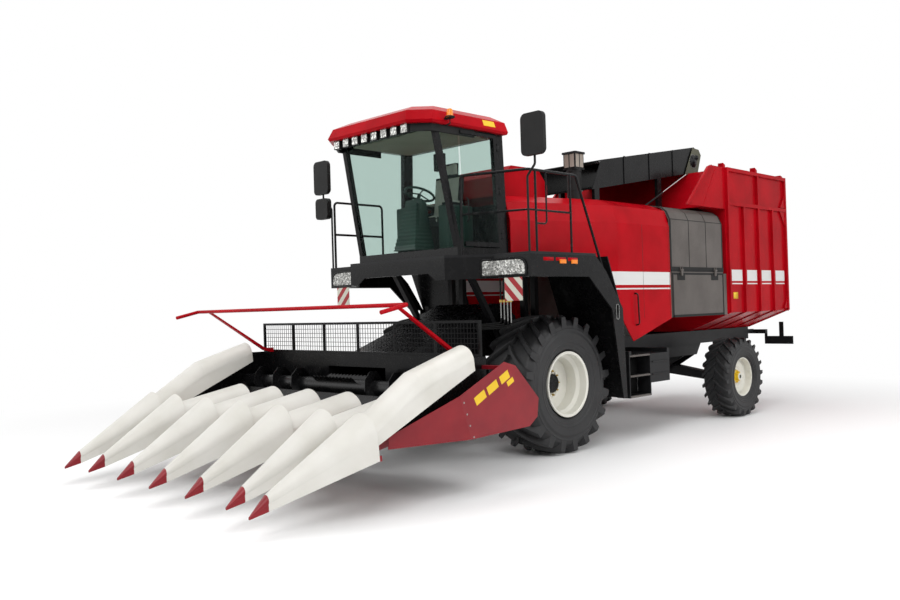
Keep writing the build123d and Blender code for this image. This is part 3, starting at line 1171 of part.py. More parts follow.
def steering_column():
    """The cowled column with the steering wheel and the side console."""
    z = CAB_SILL_Z
    cowl = side_plate([(-1370, z), (-1120, z), (-1150, z + 640), (-1230, z + 700)], -160, 160)
    shaft = bar((0, -1180, z + 640), (0, -1120, z + 780), 25)
    plane = Plane(origin=(0, -1120, z + 780), z_dir=(0, 0.39, 0.92))
    wheel = Solid.make_torus(200, 16, plane)
    spokes = [bar((0, -1120, z + 780), tuple(plane.from_local_coords((200 * cos(a), 200 * sin(a), 0))), 9)
              for a in (0, 2 * pi / 3, 4 * pi / 3)]
    save("steering_column", joined([cowl, shaft, wheel] + spokes))


front_wheels()
rear_wheels()
front_axle()
rear_axle()
knuckles()
chassis_frame()
towers()
engine_block()
platform()
bumper()
fenders()
ladder()
railings()
cab_shell()
cab_roof()
cab_glass()
cab_door()
side_covers()
engine_deck()
mesh_panels()
hopper()
tailgate()
conveyor()
air_intake()
cooling_housing()
mirrors()
rear_lamp_bar()
feeder_house()
header_frame()
header_screen()
auger()
snouts()
hoods()
side_shields()
deflector_bar()
row_units()
lift_cylinders()
lamps()
warning_plates()
driver_seat()
steering_column()
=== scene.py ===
from math import cos, pi, radians, sin

import bpy
import numpy as np
from mathutils import Matrix, Vector


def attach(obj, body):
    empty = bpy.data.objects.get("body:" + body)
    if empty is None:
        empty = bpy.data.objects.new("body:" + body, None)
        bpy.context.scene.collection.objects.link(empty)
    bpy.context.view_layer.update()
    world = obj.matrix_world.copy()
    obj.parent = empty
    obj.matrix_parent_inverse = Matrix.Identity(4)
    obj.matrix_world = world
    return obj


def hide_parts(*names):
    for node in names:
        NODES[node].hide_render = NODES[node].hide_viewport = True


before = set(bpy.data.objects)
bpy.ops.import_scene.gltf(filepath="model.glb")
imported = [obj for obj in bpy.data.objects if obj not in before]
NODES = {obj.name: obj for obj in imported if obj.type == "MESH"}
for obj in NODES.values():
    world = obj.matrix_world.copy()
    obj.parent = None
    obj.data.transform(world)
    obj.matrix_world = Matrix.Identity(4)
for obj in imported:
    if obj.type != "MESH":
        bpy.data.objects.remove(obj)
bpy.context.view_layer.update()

# Metres throughout. AXLE and REAR_AXLE are the axles' places along the machine.
AXLE = -0.98
REAR_AXLE = AXLE + 4.616
FRONT_WHEEL_X, FRONT_WHEEL_Z = 1.18, 0.907
REAR_WHEEL_X, REAR_WHEEL_Z = 1.45, 0.657
WALL_X = 1.50  # outer face of the side covers, cooling panels and hopper
SIDES = ((1, "left"), (-1, "right"))


# Materials

def new_material(name):
    """An empty node material with its output; returns (material, nodes, links, output)."""
    material = bpy.data.materials.new(name)
    material.use_nodes = True
    tree = material.node_tree
    tree.nodes.clear()
    return material, tree.nodes, tree.links, tree.nodes.new("ShaderNodeOutputMaterial")


def wear_group():
    """Node group: large soft mottling, fine grain and dust, all from object coordinates in metres."""
    group = bpy.data.node_groups.new("surface_wear", "ShaderNodeTree")
    face = group.interface
    face.new_socket("Scale", in_out="INPUT", socket_type="NodeSocketFloat").default_value = 1.0
    for name in ("Mottle", "Grain", "Dust"):
        face.new_socket(name, in_out="OUTPUT", socket_type="NodeSocketFloat")
    nodes, links = group.nodes, group.links
    enter, leave = nodes.new("NodeGroupInput"), nodes.new("NodeGroupOutput")
    place = nodes.new("ShaderNodeTexCoord")
    size = nodes.new("ShaderNodeVectorMath")
    size.operation = "SCALE"
    links.new(place.outputs["Object"], size.inputs[0])
    links.new(enter.outputs["Scale"], size.inputs["Scale"])
    for name, scale, detail in (("Mottle", 2.2, 4), ("Grain", 260.0, 2), ("Dust", 14.0, 8)):
        noise = nodes.new("ShaderNodeTexNoise")
        noise.inputs["Scale"].default_value = scale
        noise.inputs["Detail"].default_value = detail
        links.new(size.outputs[0], noise.inputs["Vector"])
        links.new(noise.outputs[0], leave.inputs[name])
    return group


WEAR = wear_group()


def painted(name, dark, light, rough=0.3, coat=0.1, metal=0.0, grain=0.02, dust=(0.35, 0.33, 0.3),
            dusty=0.003, band=None, shine=0.3):
    """Paint or plastic: two tones by mottling, a little dust, roughness from the dust, bump from the grain.
    band, if given, takes (nodes, links) and returns a (mask, colour) pair that is painted over the rest."""
    material, nodes, links, out = new_material(name)
    shader = nodes.new("ShaderNodeBsdfPrincipled")
    links.new(shader.outputs[0], out.inputs["Surface"])
    wear = nodes.new("ShaderNodeGroup")
    wear.node_tree = WEAR
    wear.inputs["Scale"].default_value = 1.0
    tone = nodes.new("ShaderNodeValToRGB")
    tone.color_ramp.elements[0].position, tone.color_ramp.elements[1].position = 0.3, 0.7
    tone.color_ramp.elements[0].color = (*dark, 1)
    tone.color_ramp.elements[1].color = (*light, 1)
    links.new(wear.outputs["Mottle"], tone.inputs[0])
    colour = tone.outputs[0]
    if band:
        mask, paint = band(nodes, links)
        over = nodes.new("ShaderNodeMix")
        over.data_type = "RGBA"
        links.new(mask, over.inputs["Factor"])
        links.new(colour, over.inputs["A"])
        over.inputs["B"].default_value = (*paint, 1)
        colour = over.outputs["Result"]
    spots = nodes.new("ShaderNodeMapRange")
    spots.inputs["From Min"].default_value = 0.45
    spots.inputs["From Max"].default_value = 0.85
    spots.inputs["To Max"].default_value = dusty * 4
    links.new(wear.outputs["Dust"], spots.inputs["Value"])
    dull = nodes.new("ShaderNodeMix")
    dull.data_type = "RGBA"
    links.new(spots.outputs[0], dull.inputs["Factor"])
    links.new(colour, dull.inputs["A"])
    dull.inputs["B"].default_value = (*dust, 1)
    links.new(dull.outputs["Result"], shader.inputs["Base Color"])
    gloss = nodes.new("ShaderNodeMapRange")
    gloss.inputs["To Min"].default_value = max(0.02, rough - 0.06)
    gloss.inputs["To Max"].default_value = rough + 0.1
    links.new(wear.outputs["Dust"], gloss.inputs["Value"])
    links.new(gloss.outputs[0], shader.inputs["Roughness"])
    bump = nodes.new("ShaderNodeBump")
    bump.inputs["Strength"].default_value = grain * 4
    bump.inputs["Distance"].default_value = 0.002
    links.new(wear.outputs["Grain"], bump.inputs["Height"])
    links.new(bump.outputs[0], shader.inputs["Normal"])
    shader.inputs["Metallic"].default_value = metal
    shader.inputs["Specular IOR Level"].default_value = shine
    shader.inputs["Coat Weight"].default_value = coat
    shader.inputs["Coat Roughness"].default_value = 0.06
    return material


def maths(nodes, links, operation, *values):
    """A Math node's result; each value is a number or another node's output."""
    node = nodes.new("ShaderNodeMath")
    node.operation = operation
    for socket, value in zip(node.inputs, values):
        if isinstance(value, float):
            socket.default_value = value
        else:
            links.new(value, socket)
    return node.outputs[0]


def between(nodes, links, value, low, high):
    """A mask that is one where low < value < high."""
    above = maths(nodes, links, "GREATER_THAN", value, low)
    below = maths(nodes, links, "LESS_THAN", value, high)
    return maths(nodes, links, "MULTIPLY", above, below)


def joined_masks(nodes, links, masks, operation):
    """Masks put together by MAXIMUM or MULTIPLY."""
    result = masks[0]
    for mask in masks[1:]:
        result = maths(nodes, links, operation, result, mask)
    return result


def split_place(nodes, links):
    """X, Y and Z of the object coordinates."""
    place = nodes.new("ShaderNodeTexCoord")
    parts = nodes.new("ShaderNodeSeparateXYZ")
    links.new(place.outputs["Object"], parts.inputs[0])
    return parts.outputs


BAND_WHITE = (0.66, 0.66, 0.65)


def cover_band(nodes, links):
    """The white band with a thin line below it along the side covers."""
    axes = split_place(nodes, links)
    wide = between(nodes, links, axes["Z"], 2.20, 2.39)
    thin = between(nodes, links, axes["Z"], 2.135, 2.155)
    side = between(nodes, links, axes["Y"], AXLE + 0.60, AXLE + 2.64)
    bands = joined_masks(nodes, links, [wide, thin], "MAXIMUM")
    return joined_masks(nodes, links, [bands, side], "MULTIPLY"), BAND_WHITE


def hopper_band(nodes, links):
    """White squares between the hopper's ribs with a thin line below them, on its outer skin only."""
    axes = split_place(nodes, links)
    wide = between(nodes, links, axes["Z"], 2.26, 2.45)
    thin = between(nodes, links, axes["Z"], 2.205, 2.225)
    bands = joined_masks(nodes, links, [wide, thin], "MAXIMUM")
    bays = []
    for index in range(4):
        start = AXLE + 4.49 + index * 0.5475
        bays.append(between(nodes, links, axes["Y"], start + 0.06, start + 0.487))
    side = joined_masks(nodes, links, bays, "MAXIMUM")
    skin = between(nodes, links, maths(nodes, links, "ABSOLUTE", axes["X"]), WALL_X - 0.005, WALL_X + 0.006)
    return joined_masks(nodes, links, [bands, side, skin], "MULTIPLY"), BAND_WHITE


STRIPE = 0.095  # width of a stripe along x or z


def stripes(nodes, links):
    """Slanted red stripes on the warning plates: red in the upper half of a wave over |x| + z."""
    axes = split_place(nodes, links)
    slant = maths(nodes, links, "ADD", maths(nodes, links, "ABSOLUTE", axes["X"]), axes["Z"])
    wave = maths(nodes, links, "PINGPONG", slant, STRIPE)
    return between(nodes, links, wave, STRIPE / 2, 1.0), (0.34, 0.008, 0.015)


def glass_material():
    """Tinted sheet glass: mostly clear, glossy, without refraction."""
    material, nodes, links, out = new_material("glass")
    clear = nodes.new("ShaderNodeBsdfTransparent")
    clear.inputs["Color"].default_value = (0.86, 0.92, 0.90, 1)
    shader = nodes.new("ShaderNodeBsdfPrincipled")
    shader.inputs["Base Color"].default_value = (0.02, 0.03, 0.028, 1)
    shader.inputs["Roughness"].default_value = 0.03
    mix = nodes.new("ShaderNodeMixShader")
    mix.inputs[0].default_value = 0.07
    links.new(clear.outputs[0], mix.inputs[1])
    links.new(shader.outputs[0], mix.inputs[2])
    links.new(mix.outputs[0], out.inputs["Surface"])
    return material


def lamp_material():
    """A lens over a cut reflector: small facets, each tilted its own way, with painted glints: each facet's
    colour is lighter or darker, standing in for the light its reflection catches.
    """
    material, nodes, links, out = new_material("lamp")
    shader = nodes.new("ShaderNodeBsdfPrincipled")
    shader.inputs["Metallic"].default_value = 0.6
    shader.inputs["Roughness"].default_value = 0.2
    shader.inputs["Coat Weight"].default_value = 0.3
    place, glint_facets = nodes.new("ShaderNodeTexCoord"), nodes.new("ShaderNodeTexVoronoi")
    glint_facets.inputs["Scale"].default_value = 55
    links.new(place.outputs["Object"], glint_facets.inputs["Vector"])
    # Painted glints: each facet gets a grey from near black to bright, standing in for its reflection.
    tone = nodes.new("ShaderNodeValToRGB")
    for index, (spot, grey) in enumerate(((0.0, 0.05), (0.40, 0.16), (0.65, 0.34), (1.0, 0.80))):
        stop = tone.color_ramp.elements[index] if index < 2 else tone.color_ramp.elements.new(spot)
        stop.position, stop.color = spot, (grey, grey, grey * 0.95, 1)
    links.new(glint_facets.outputs["Color"], tone.inputs[0])
    links.new(tone.outputs[0], shader.inputs["Base Color"])
    bump = nodes.new("ShaderNodeBump")
    bump.inputs["Strength"].default_value = 0.5
    bump.inputs["Distance"].default_value = 0.004
    links.new(glint_facets.outputs["Distance"], bump.inputs["Height"])
    links.new(bump.outputs[0], shader.inputs["Normal"])
    links.new(shader.outputs[0], out.inputs["Surface"])
    return material


RED = ((0.31, 0.002, 0.006), (0.42, 0.003, 0.009))
RED_GLOSS = dict(coat=0.02, shine=0.03, dusty=0.001)
PAINTS = {  # darker tone, lighter tone, and what else painted() is told
    "tyre": ((0.012, 0.012, 0.013), (0.022, 0.022, 0.023),
             dict(rough=0.5, coat=0.0, grain=0.06, dust=(0.09, 0.085, 0.08), dusty=0.03)),
    "cream_rim": ((0.66, 0.65, 0.58), (0.72, 0.71, 0.65), dict(rough=0.28)),
    "dark_frame": ((0.006, 0.006, 0.007), (0.012, 0.012, 0.013), dict(rough=0.38, coat=0.0, shine=0.15)),
    "cast_engine": ((0.08, 0.08, 0.08), (0.14, 0.14, 0.13), dict(rough=0.6, coat=0.0, metal=0.3)),
    "black_paint": ((0.003, 0.003, 0.0035), (0.007, 0.007, 0.0075), dict(rough=0.24, shine=0.12, coat=0.03)),
    "red_paint": (*RED, dict(rough=0.2, **RED_GLOSS)),
    "cover_red": (*RED, dict(rough=0.2, band=cover_band, **RED_GLOSS)),
    "hopper_red": (*RED, dict(rough=0.22, band=hopper_band, **RED_GLOSS)),
    "black_plastic": ((0.006, 0.006, 0.006), (0.011, 0.011, 0.011), dict(rough=0.5, coat=0.0, shine=0.15)),
    "white_plastic": ((0.60, 0.585, 0.535), (0.68, 0.665, 0.625), dict(rough=0.38, coat=0.05)),
    "pale_mesh": ((0.20, 0.17, 0.14), (0.34, 0.30, 0.26), dict(rough=0.5, coat=0.0, grain=0.2)),
    "tip_red": ((0.17, 0.006, 0.012), (0.25, 0.010, 0.016), dict(rough=0.35, coat=0.05)),
    "bare_steel": ((0.22, 0.22, 0.215), (0.34, 0.34, 0.33), dict(rough=0.35, coat=0.0, metal=1.0)),
    "chrome": ((0.70, 0.70, 0.70), (0.8, 0.8, 0.8), dict(rough=0.1, coat=0.0, metal=1.0, dusty=0.0)),
    "brass": ((0.45, 0.30, 0.08), (0.6, 0.42, 0.12), dict(rough=0.35, coat=0.0, metal=0.9)),
    "grey_mesh": ((0.088, 0.077, 0.070), (0.130, 0.115, 0.106), dict(rough=0.45, coat=0.05, shine=0.2)),
    "striped_plate": ((0.60, 0.59, 0.50), (0.66, 0.65, 0.56), dict(rough=0.35, band=stripes)),
    "seat_cloth": ((0.014, 0.015, 0.016), (0.035, 0.036, 0.04), dict(rough=0.9, coat=0.0, grain=0.3)),
    "dark_green_plastic": ((0.010, 0.028, 0.022), (0.018, 0.045, 0.035), dict(rough=0.5, coat=0.0)),
    "beige": ((0.30, 0.28, 0.22), (0.36, 0.34, 0.27), dict(rough=0.8, coat=0.0)),
    "olive": ((0.055, 0.055, 0.03), (0.08, 0.078, 0.045), dict(rough=0.45)),
    "pale_cloth": ((0.42, 0.41, 0.37), (0.52, 0.51, 0.46), dict(rough=0.9, coat=0.0, grain=0.3)),
    "yellow": ((0.72, 0.46, 0.01), (0.80, 0.52, 0.02), dict(rough=0.35)),
    "amber": ((0.75, 0.18, 0.01), (0.9, 0.26, 0.02), dict(rough=0.15)),
}
MATERIALS = {name: painted(name, dark, light, **finish) for name, (dark, light, finish) in PAINTS.items()}
MATERIALS["lamp"] = lamp_material()
MATERIALS["glass"] = glass_material()


def dress(piece, material):
    """Give a piece one material."""
    piece.data.materials.clear()
    piece.data.materials.append(MATERIALS[material])


# Mesh helpers

def make_mesh(name, points, faces, material, body, slot=None, smooth=True, bevel=0.0, sharp=0):
    """A mesh object at the origin from points (n, 3) and faces; it rides on a body. Smooth shading stops at
    edges over sharp degrees, where that is given."""
    mesh = bpy.data.meshes.new(name)
    mesh.from_pydata(np.asarray(points, float).tolist(), [], [list(map(int, face)) for face in faces])
    mesh.update()
    piece = bpy.data.objects.new(name, mesh)
    bpy.context.scene.collection.objects.link(piece)
    if smooth:
        mesh.shade_smooth()
    if sharp:
        mesh.set_sharp_from_angle(angle=radians(sharp))
    if bevel:
        soften(piece, bevel)
    dress(piece, material)
    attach(piece, body)
    return piece


def soften(piece, width):
    """Round the sharp edges and keep the flat faces' shading flat."""
    round_off = piece.modifiers.new("edges", "BEVEL")
    round_off.width = width
    round_off.segments = 2
    round_off.limit_method = "ANGLE"
    round_off.angle_limit = radians(35)
    round_off.harden_normals = True
    piece.data.shade_smooth()


def grid_faces(rows, columns, wrap_rows=False, wrap_columns=False):
    """Quads of a grid whose point index is row * columns + column."""
    i = np.arange(rows if wrap_rows else rows - 1)
    j = np.arange(columns if wrap_columns else columns - 1)
    i, j = np.meshgrid(i, j, indexing="ij")
    i2, j2 = (i + 1) % rows, (j + 1) % columns
    quads = np.stack([i * columns + j, i * columns + j2, i2 * columns + j2, i2 * columns + j], axis=-1)
    return quads.reshape(-1, 4)


def together(*parts):
    """Several (points, faces) pairs as one."""
    points, faces, start = [], [], 0
    for some_points, some_faces in parts:
        points.append(np.asarray(some_points, float).reshape(-1, 3))
        faces += [[int(index) + start for index in face] for face in some_faces]
        start += len(points[-1])
    return np.concatenate(points), faces


def block(x0, x1, y0, y1, z0, z1):
    """A box as points and faces."""
    points = np.array([(x, y, z) for x in (x0, x1) for y in (y0, y1) for z in (z0, z1)])
    faces = np.array([(0, 1, 3, 2), (4, 6, 7, 5), (0, 4, 5, 1), (2, 3, 7, 6), (0, 2, 6, 4), (1, 5, 7, 3)])
    if (x1 - x0) * (y1 - y0) * (z1 - z0) < 0:
        faces = faces[:, ::-1]
    return points, faces


def prism(outline, low, high, axis):
    """An outline from low to high along an axis: (y, z) points along x, (x, z) along y, (x, y) along z."""
    outline = np.asarray(outline, float)
    ahead = np.roll(outline, -1, 0)
    turn = float((outline[:, 0] * ahead[:, 1] - ahead[:, 0] * outline[:, 1]).sum())
    if (turn < 0) == (axis != "y"):
        outline = outline[::-1]
    count = len(outline)
    levels = np.repeat([min(low, high), max(low, high)], count)
    a, b = np.tile(outline, (2, 1)).T
    points = np.stack({"x": (levels, a, b), "y": (a, levels, b), "z": (a, b, levels)}[axis], -1)
    faces = [list(range(count))[::-1], list(range(count, 2 * count))]
    for index in range(count):
        after = (index + 1) % count
        faces.append([index, after, after + count, index + count])
    return points, faces


def tube(path, radius, sides=12, closed=False):
    """A round tube along points: the ring at each point is radius * (cos a * u + sin a * v), with u and v
    square to the path's direction there."""
    path = np.asarray(path, float)
    if closed:
        ahead, behind = np.roll(path, -1, 0), np.roll(path, 1, 0)
    else:
        ahead, behind = np.concatenate([path[1:], path[-1:]]), np.concatenate([path[:1], path[:-1]])
    along = ahead - behind
    along /= np.linalg.norm(along, axis=1)[:, None]
    up = np.tile([0.0, 0.0, 1.0], (len(path), 1))
    steep = np.abs(along[:, 2]) > 0.9
    up[steep] = (0.0, 1.0, 0.0) if steep.all() or not steep.any() else (0.3, 1.0, 0.1)
    u = np.cross(along, up)
    u /= np.linalg.norm(u, axis=1)[:, None]
    v = np.cross(along, u)
    a = np.linspace(0, 2 * pi, sides, endpoint=False)
    outward = np.cos(a)[None, :, None] * u[:, None] + np.sin(a)[None, :, None] * v[:, None]
    points = (path[:, None] + radius * outward).reshape(-1, 3)
    faces = grid_faces(len(path), sides, wrap_rows=closed, wrap_columns=True).tolist()
    if not closed:
        faces.append(list(range(sides))[::-1])
        faces.append([(len(path) - 1) * sides + index for index in range(sides)])
    return points, faces


def rounded(corners, bend, steps=5):
    """Straight runs with their corners replaced by curves: at t, (1-t)^2 a + 2t(1-t) corner + t^2 b, where
    a and b lie bend away from the corner."""
    corners = np.asarray(corners, float)
    path = [corners[0]]
    t = np.linspace(0, 1, steps)[:, None]
    for before, corner, after in zip(corners[:-2], corners[1:-1], corners[2:]):
        to_a, to_b = before - corner, after - corner
        a = corner + to_a / np.linalg.norm(to_a) * min(bend, np.linalg.norm(to_a) / 2.1)
        b = corner + to_b / np.linalg.norm(to_b) * min(bend, np.linalg.norm(to_b) / 2.1)
        path += list((1 - t) ** 2 * a + 2 * t * (1 - t) * corner + t ** 2 * b)
    path.append(corners[-1])
    return np.array(path)


def lathe(profile, centre, steps=96, axis="x"):
    """A profile of (axial, radial) pairs turned about an axis through centre."""
    profile = np.asarray(profile, float)
    a = np.linspace(0, 2 * pi, steps, endpoint=False)
    axial = np.repeat(profile[:, 0][None], steps, 0)
    c, s = np.cos(a)[:, None] * profile[:, 1][None], np.sin(a)[:, None] * profile[:, 1][None]
    points = np.stack([axial, c, s] if axis == "x" else [c, axial, s] if axis == "y" else [c, s, axial], -1)
    faces = grid_faces(steps, len(profile), wrap_rows=True)
    return points.reshape(-1, 3) + np.asarray(centre), faces


def mirrored(part):
    """The same points and faces on the other side of the machine."""
    points, faces = part
    return np.asarray(points) * (-1, 1, 1), [list(face)[::-1] for face in faces]


def on_side(part, side):
    """A part that is drawn on the left, as it is for side 1 and mirrored for side -1."""
    return part if side > 0 else mirrored(part)


# Tyres

def tyre(name, node, body, centre, radius, width, bead, lug_h, lugs, lug_t, lean):
    """A carcass turned from a rounded profile, with two rows of curved lugs.
    Its side runs with t from bead to crown: r = bead + (crown - bead) * t^0.92, x = half times a table of t,
    with low rings on it. A lug runs with u from the middle to the shoulder: it turns by lean * u^0.82 round
    the wheel, its top drops by 0.028 * radius * u^4, and it grows wider."""
    half, crown = width / 2, radius - lug_h
    t = np.linspace(0.0, 1.0, 41)
    side_x = half * np.interp(t, [0, 0.12, 0.3, 0.55, 0.8, 0.93, 1],
                              [0.80, 0.9, 0.965, 1.0, 0.95, 0.84, 0.70])
    for ring, swell in ((0.10, 0.008), (0.20, 0.005), (0.30, 0.004), (0.62, -0.004), (0.70, 0.006)):
        side_x += swell * np.clip(1 - np.abs(t - ring) / 0.03, 0, 1)
    side_r = bead + (crown - bead) * t ** 0.92
    side_r[-3:] = crown * np.array([0.985, 0.993, 0.999])
    right = np.stack([side_x, side_r], -1)
    left = right[::-1] * (-1, 1)
    middle = np.stack([np.linspace(0.55, -0.55, 5) * half, np.full(5, crown)], -1)
    inner = np.array([(-0.78 * half, bead), (0.78 * half, bead)])
    parts = [lathe(np.concatenate([right, middle, left, inner]), (0, 0, 0), 120)]
    u = np.linspace(0, 1, 9)
    x = -0.03 * half + u * half
    swing = np.radians(lean) * u ** 0.82
    top = radius - (radius * 0.028) * u ** 4
    low = crown - 0.02 - (crown - bead) * 0.24 * u ** 5
    wide = lug_t / 2 * (0.85 + 0.45 * u)
    section = ((low, -1.35), (top - 0.012, -1.02), (top, -0.8), (top, 0.8), (top - 0.012, 1.02), (low, 1.35))
    for side in (1, -1):
        for index in range(lugs):
            a = 2 * pi / lugs * (index + (0.0 if side > 0 else 0.5)) + swing
            ring = []
            for r, w in section:
                e = wide * w
                y, z = np.cos(a) * r - np.sin(a) * e, np.sin(a) * r + np.cos(a) * e
                ring.append(np.stack([side * x, y, z], -1))
            points = np.stack(ring, 1).reshape(-1, 3)
            faces = grid_faces(len(u), 6, wrap_columns=True).tolist()
            faces += [[5, 4, 3, 2, 1, 0], [(len(u) - 1) * 6 + k for k in range(6)]]
            parts.append((points, faces if side > 0 else [face[::-1] for face in faces]))
    points, faces = together(*parts)
    piece = make_mesh(name, points + np.asarray(centre), faces, "tyre", body, "tyre", sharp=40)
    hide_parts(node)


for side, word in SIDES:
    tyre(f"front_tyre_skin_{word}", f"front_tyre_{word}", f"front_wheel_{word}",
         (side * FRONT_WHEEL_X, AXLE, FRONT_WHEEL_Z), radius=0.9065, width=0.772, bead=0.407, lug_h=0.062,
         lugs=20, lug_t=0.062, lean=24)
    tyre(f"rear_tyre_skin_{word}", f"rear_tyre_{word}", f"rear_wheel_{word}",
         (side * REAR_WHEEL_X, REAR_AXLE, REAR_WHEEL_Z), radius=0.6565, width=0.458, bead=0.320, lug_h=0.036,
         lugs=22, lug_t=0.044, lean=20)


# Wheel trim

def round_the_hub(profile, count, circle):
    """Six-sided nuts or bolts turned from a profile, evenly round a circle about the wheel's axis."""
    nuts = []
    for index in range(count):
        a = 2 * pi * index / count
        nuts.append(lathe(profile, (0, circle * cos(a), circle * sin(a)), 6))
    return nuts


def wheel_trim(side, word):
    """Hub cap and brass nuts in front, the yellow hub with its bolts behind."""
    front = (side * (FRONT_WHEEL_X + 0.035), AXLE, FRONT_WHEEL_Z)
    cap = [(0.0, 0.128), (0.05, 0.128), (0.066, 0.118), (0.072, 0.08), (0.072, 0.001)]
    points, faces = on_side(lathe(cap, (0, 0, 0), 48), side)
    points = points * 0.999 + front
    make_mesh(f"hub_cap_{word}", points, faces, "black_paint", f"front_wheel_{word}", sharp=35)
    nut = [(0.0, 0.017), (0.026, 0.017), (0.03, 0.013), (0.03, 0.008), (0.046, 0.008), (0.046, 0.001)]
    points, faces = on_side(together(*round_the_hub(nut, 10, 0.165)), side)
    make_mesh(f"hub_nuts_{word}", points + front, faces, "brass", f"front_wheel_{word}", smooth=False)
    hub = [(0.0, 0.105), (0.02, 0.105), (0.03, 0.075), (0.07, 0.068), (0.078, 0.055), (0.084, 0.03),
           (0.084, 0.001)]
    bolt = [(0.0, 0.015), (0.04, 0.015), (0.04, 0.001)]
    points, faces = on_side(together(lathe(hub, (0, 0, 0), 48), *round_the_hub(bolt, 8, 0.09)), side)
    rear = (side * (REAR_WHEEL_X + 0.051), REAR_AXLE, REAR_WHEEL_Z)
    make_mesh(f"rear_hub_{word}", points + rear, faces, "yellow", f"rear_wheel_{word}", sharp=35)


for side, word in SIDES:
    wheel_trim(side, word)


# CAD pieces and their finishes

FINISH = {
    "cream_rim": ["front_rim_left", "front_rim_right", "rear_rim_left", "rear_rim_right"],
    "dark_frame": ["front_axle", "rear_axle", "knuckle_left", "knuckle_right", "chassis_rails",
                   "cross_members", "towers", "platform", "ladder", "rear_lamp_bar", "lift_barrels"],
    "cast_engine": ["engine_block"],
    "black_paint": ["bumper", "fender_left", "fender_right", "railings", "cab_shell", "cab_door",
                    "conveyor_trough", "conveyor_sides", "air_intake", "feeder_house", "header_frame",
                    "header_screen", "header_auger"],
    "red_paint": ["cab_roof", "engine_deck", "tailgate", "cooling_housing", "deflector_bar"],
    "cover_red": ["side_cover_left", "side_cover_right"],
    "hopper_red": ["hopper"],
    "glass": ["cab_glass", "door_glass"],
    "grey_mesh": ["mesh_panel_left", "mesh_panel_right", "mesh_flap_left", "mesh_flap_right"],
    "black_plastic": ["mirrors"],
    "white_plastic": ["snouts", "row_hoods", "outer_hoods"],
    "tip_red": ["snout_tips", "side_shields", "row_units"],
    "chrome": ["lift_rods"],
    "striped_plate": ["warning_plates"],
    "seat_cloth": ["driver_seat"],
    "dark_green_plastic": ["steering_column"],
}
EDGES = {"cast_engine": 0.012, "seat_cloth": 0.03, "white_plastic": 0.006, "glass": 0.0, "cream_rim": 0.004}
for finish, names in FINISH.items():
    for name in names:
        dress(NODES[name], finish)
        width = EDGES.get(finish, 0.003)
        if width:
            soften(NODES[name], width)


def bars(name, corners_list, radius, material, body, slot=None, bend=0.0, sides=10):
    """Round bars or bent tubes through lists of corner points, as one piece."""
    parts = []
    for corners in corners_list:
        path = rounded(corners, bend) if bend and len(corners) > 2 else np.asarray(corners, float)
        parts.append(tube(path, radius, sides))
    make_mesh(name, *together(*parts), material, body, slot, sharp=50)


def blocks(name, boxes, material, body, bevel=0.0):
    """Several boxes as one piece, with rounded edges where bevel is given."""
    make_mesh(name, *together(*[block(*box) for box in boxes]), material, body, bevel=bevel)


# Header: screen wires, blank labels and bolts on the shields

WIRES = 84
wires = []
for index in range(1, WIRES):
    x = -2.1 + index * 4.2 / WIRES
    wires.append([(x, AXLE - 2.247, 1.44), (x, AXLE - 2.247, 1.775)])
bars("screen_wires", wires, 0.0035, "black_paint", "header", "black_paint", sides=5)

LABEL_SLOPE = radians(26.6)
LABELS = ((-2.60, 1.02, 0.085, 0.045), (-2.41, 1.11, 0.085, 0.045), (-2.22, 1.20, 0.075, 0.045),
          (-2.13, 1.145, 0.055, 0.028))  # place along the machine, height, half length, half width
labels = []
for y, z, half_long, half_wide in LABELS:
    corners = [(u * half_long, v * half_wide) for u, v in ((-1, -1), (1, -1), (1, 1), (-1, 1))]
    outline = [(AXLE + y + u * cos(LABEL_SLOPE) - v * sin(LABEL_SLOPE),
                z + u * sin(LABEL_SLOPE) + v * cos(LABEL_SLOPE)) for u, v in corners]
    for side in (1, -1):
        labels.append(prism(outline, side * 2.398, side * 2.4002, "x"))
make_mesh("blank_labels", *together(*labels), "yellow", "header", smooth=False)

heads = []
for y, z in ((-2.71, 0.63), (-2.76, 0.75), (-2.80, 0.87), (-2.84, 0.99)):
    bolt = lathe([(0, 0.011), (0.0010, 0.011), (0.0012, 0.001)], (2.399, AXLE + y, z), 6)
    heads += [bolt, mirrored(bolt)]
make_mesh("shield_bolts", *together(*heads), "bare_steel", "header", smooth=False)


# Cooling panels on both sides: seams, black edges, fine slats, and hinge plates on the flaps

PANEL = [(WALL_X, 2.43), (WALL_X, 3.20), (1.44, 3.33), (1.34, 3.405), (1.17, 3.44)]  # (x, z) up the panel


def panel_strip(y0, y1, start, end, thick):
    """A strip that lies on the panel's bent outline between two places along it, in metres from its foot;
    thick is how far it stands off."""
    foot = np.array(PANEL)
    steps = np.linalg.norm(np.diff(foot, axis=0), axis=1)
    along = np.concatenate([[0], np.cumsum(steps)])
    at = np.unique(np.concatenate([[start], along[(along > start) & (along < end)], [end]]))
    line = np.stack([np.interp(at, along, foot[:, 0]), np.interp(at, along, foot[:, 1])], -1)
    slope = np.gradient(line, axis=0)
    out = np.stack([slope[:, 1], -slope[:, 0]], -1) / np.linalg.norm(slope, axis=1)[:, None]
    outline = np.concatenate([line - out * 0.001, (line + out * thick)[::-1]])
    return prism([(x, z) for x, z in outline], y0, y1, "y")


COOL_Y0, COOL_Y1 = AXLE + 2.66, AXLE + 4.295  # the panels' ends
PANEL_LONG = 1.25  # along the outline, to just past its top corner


def flap_strip(y0, y1, z0, z1, thick):
    """A flat strip on the lower flap; thick is how far it stands off the wall."""
    return block(WALL_X + 0.004, WALL_X + thick, y0, y1, z0, z1)


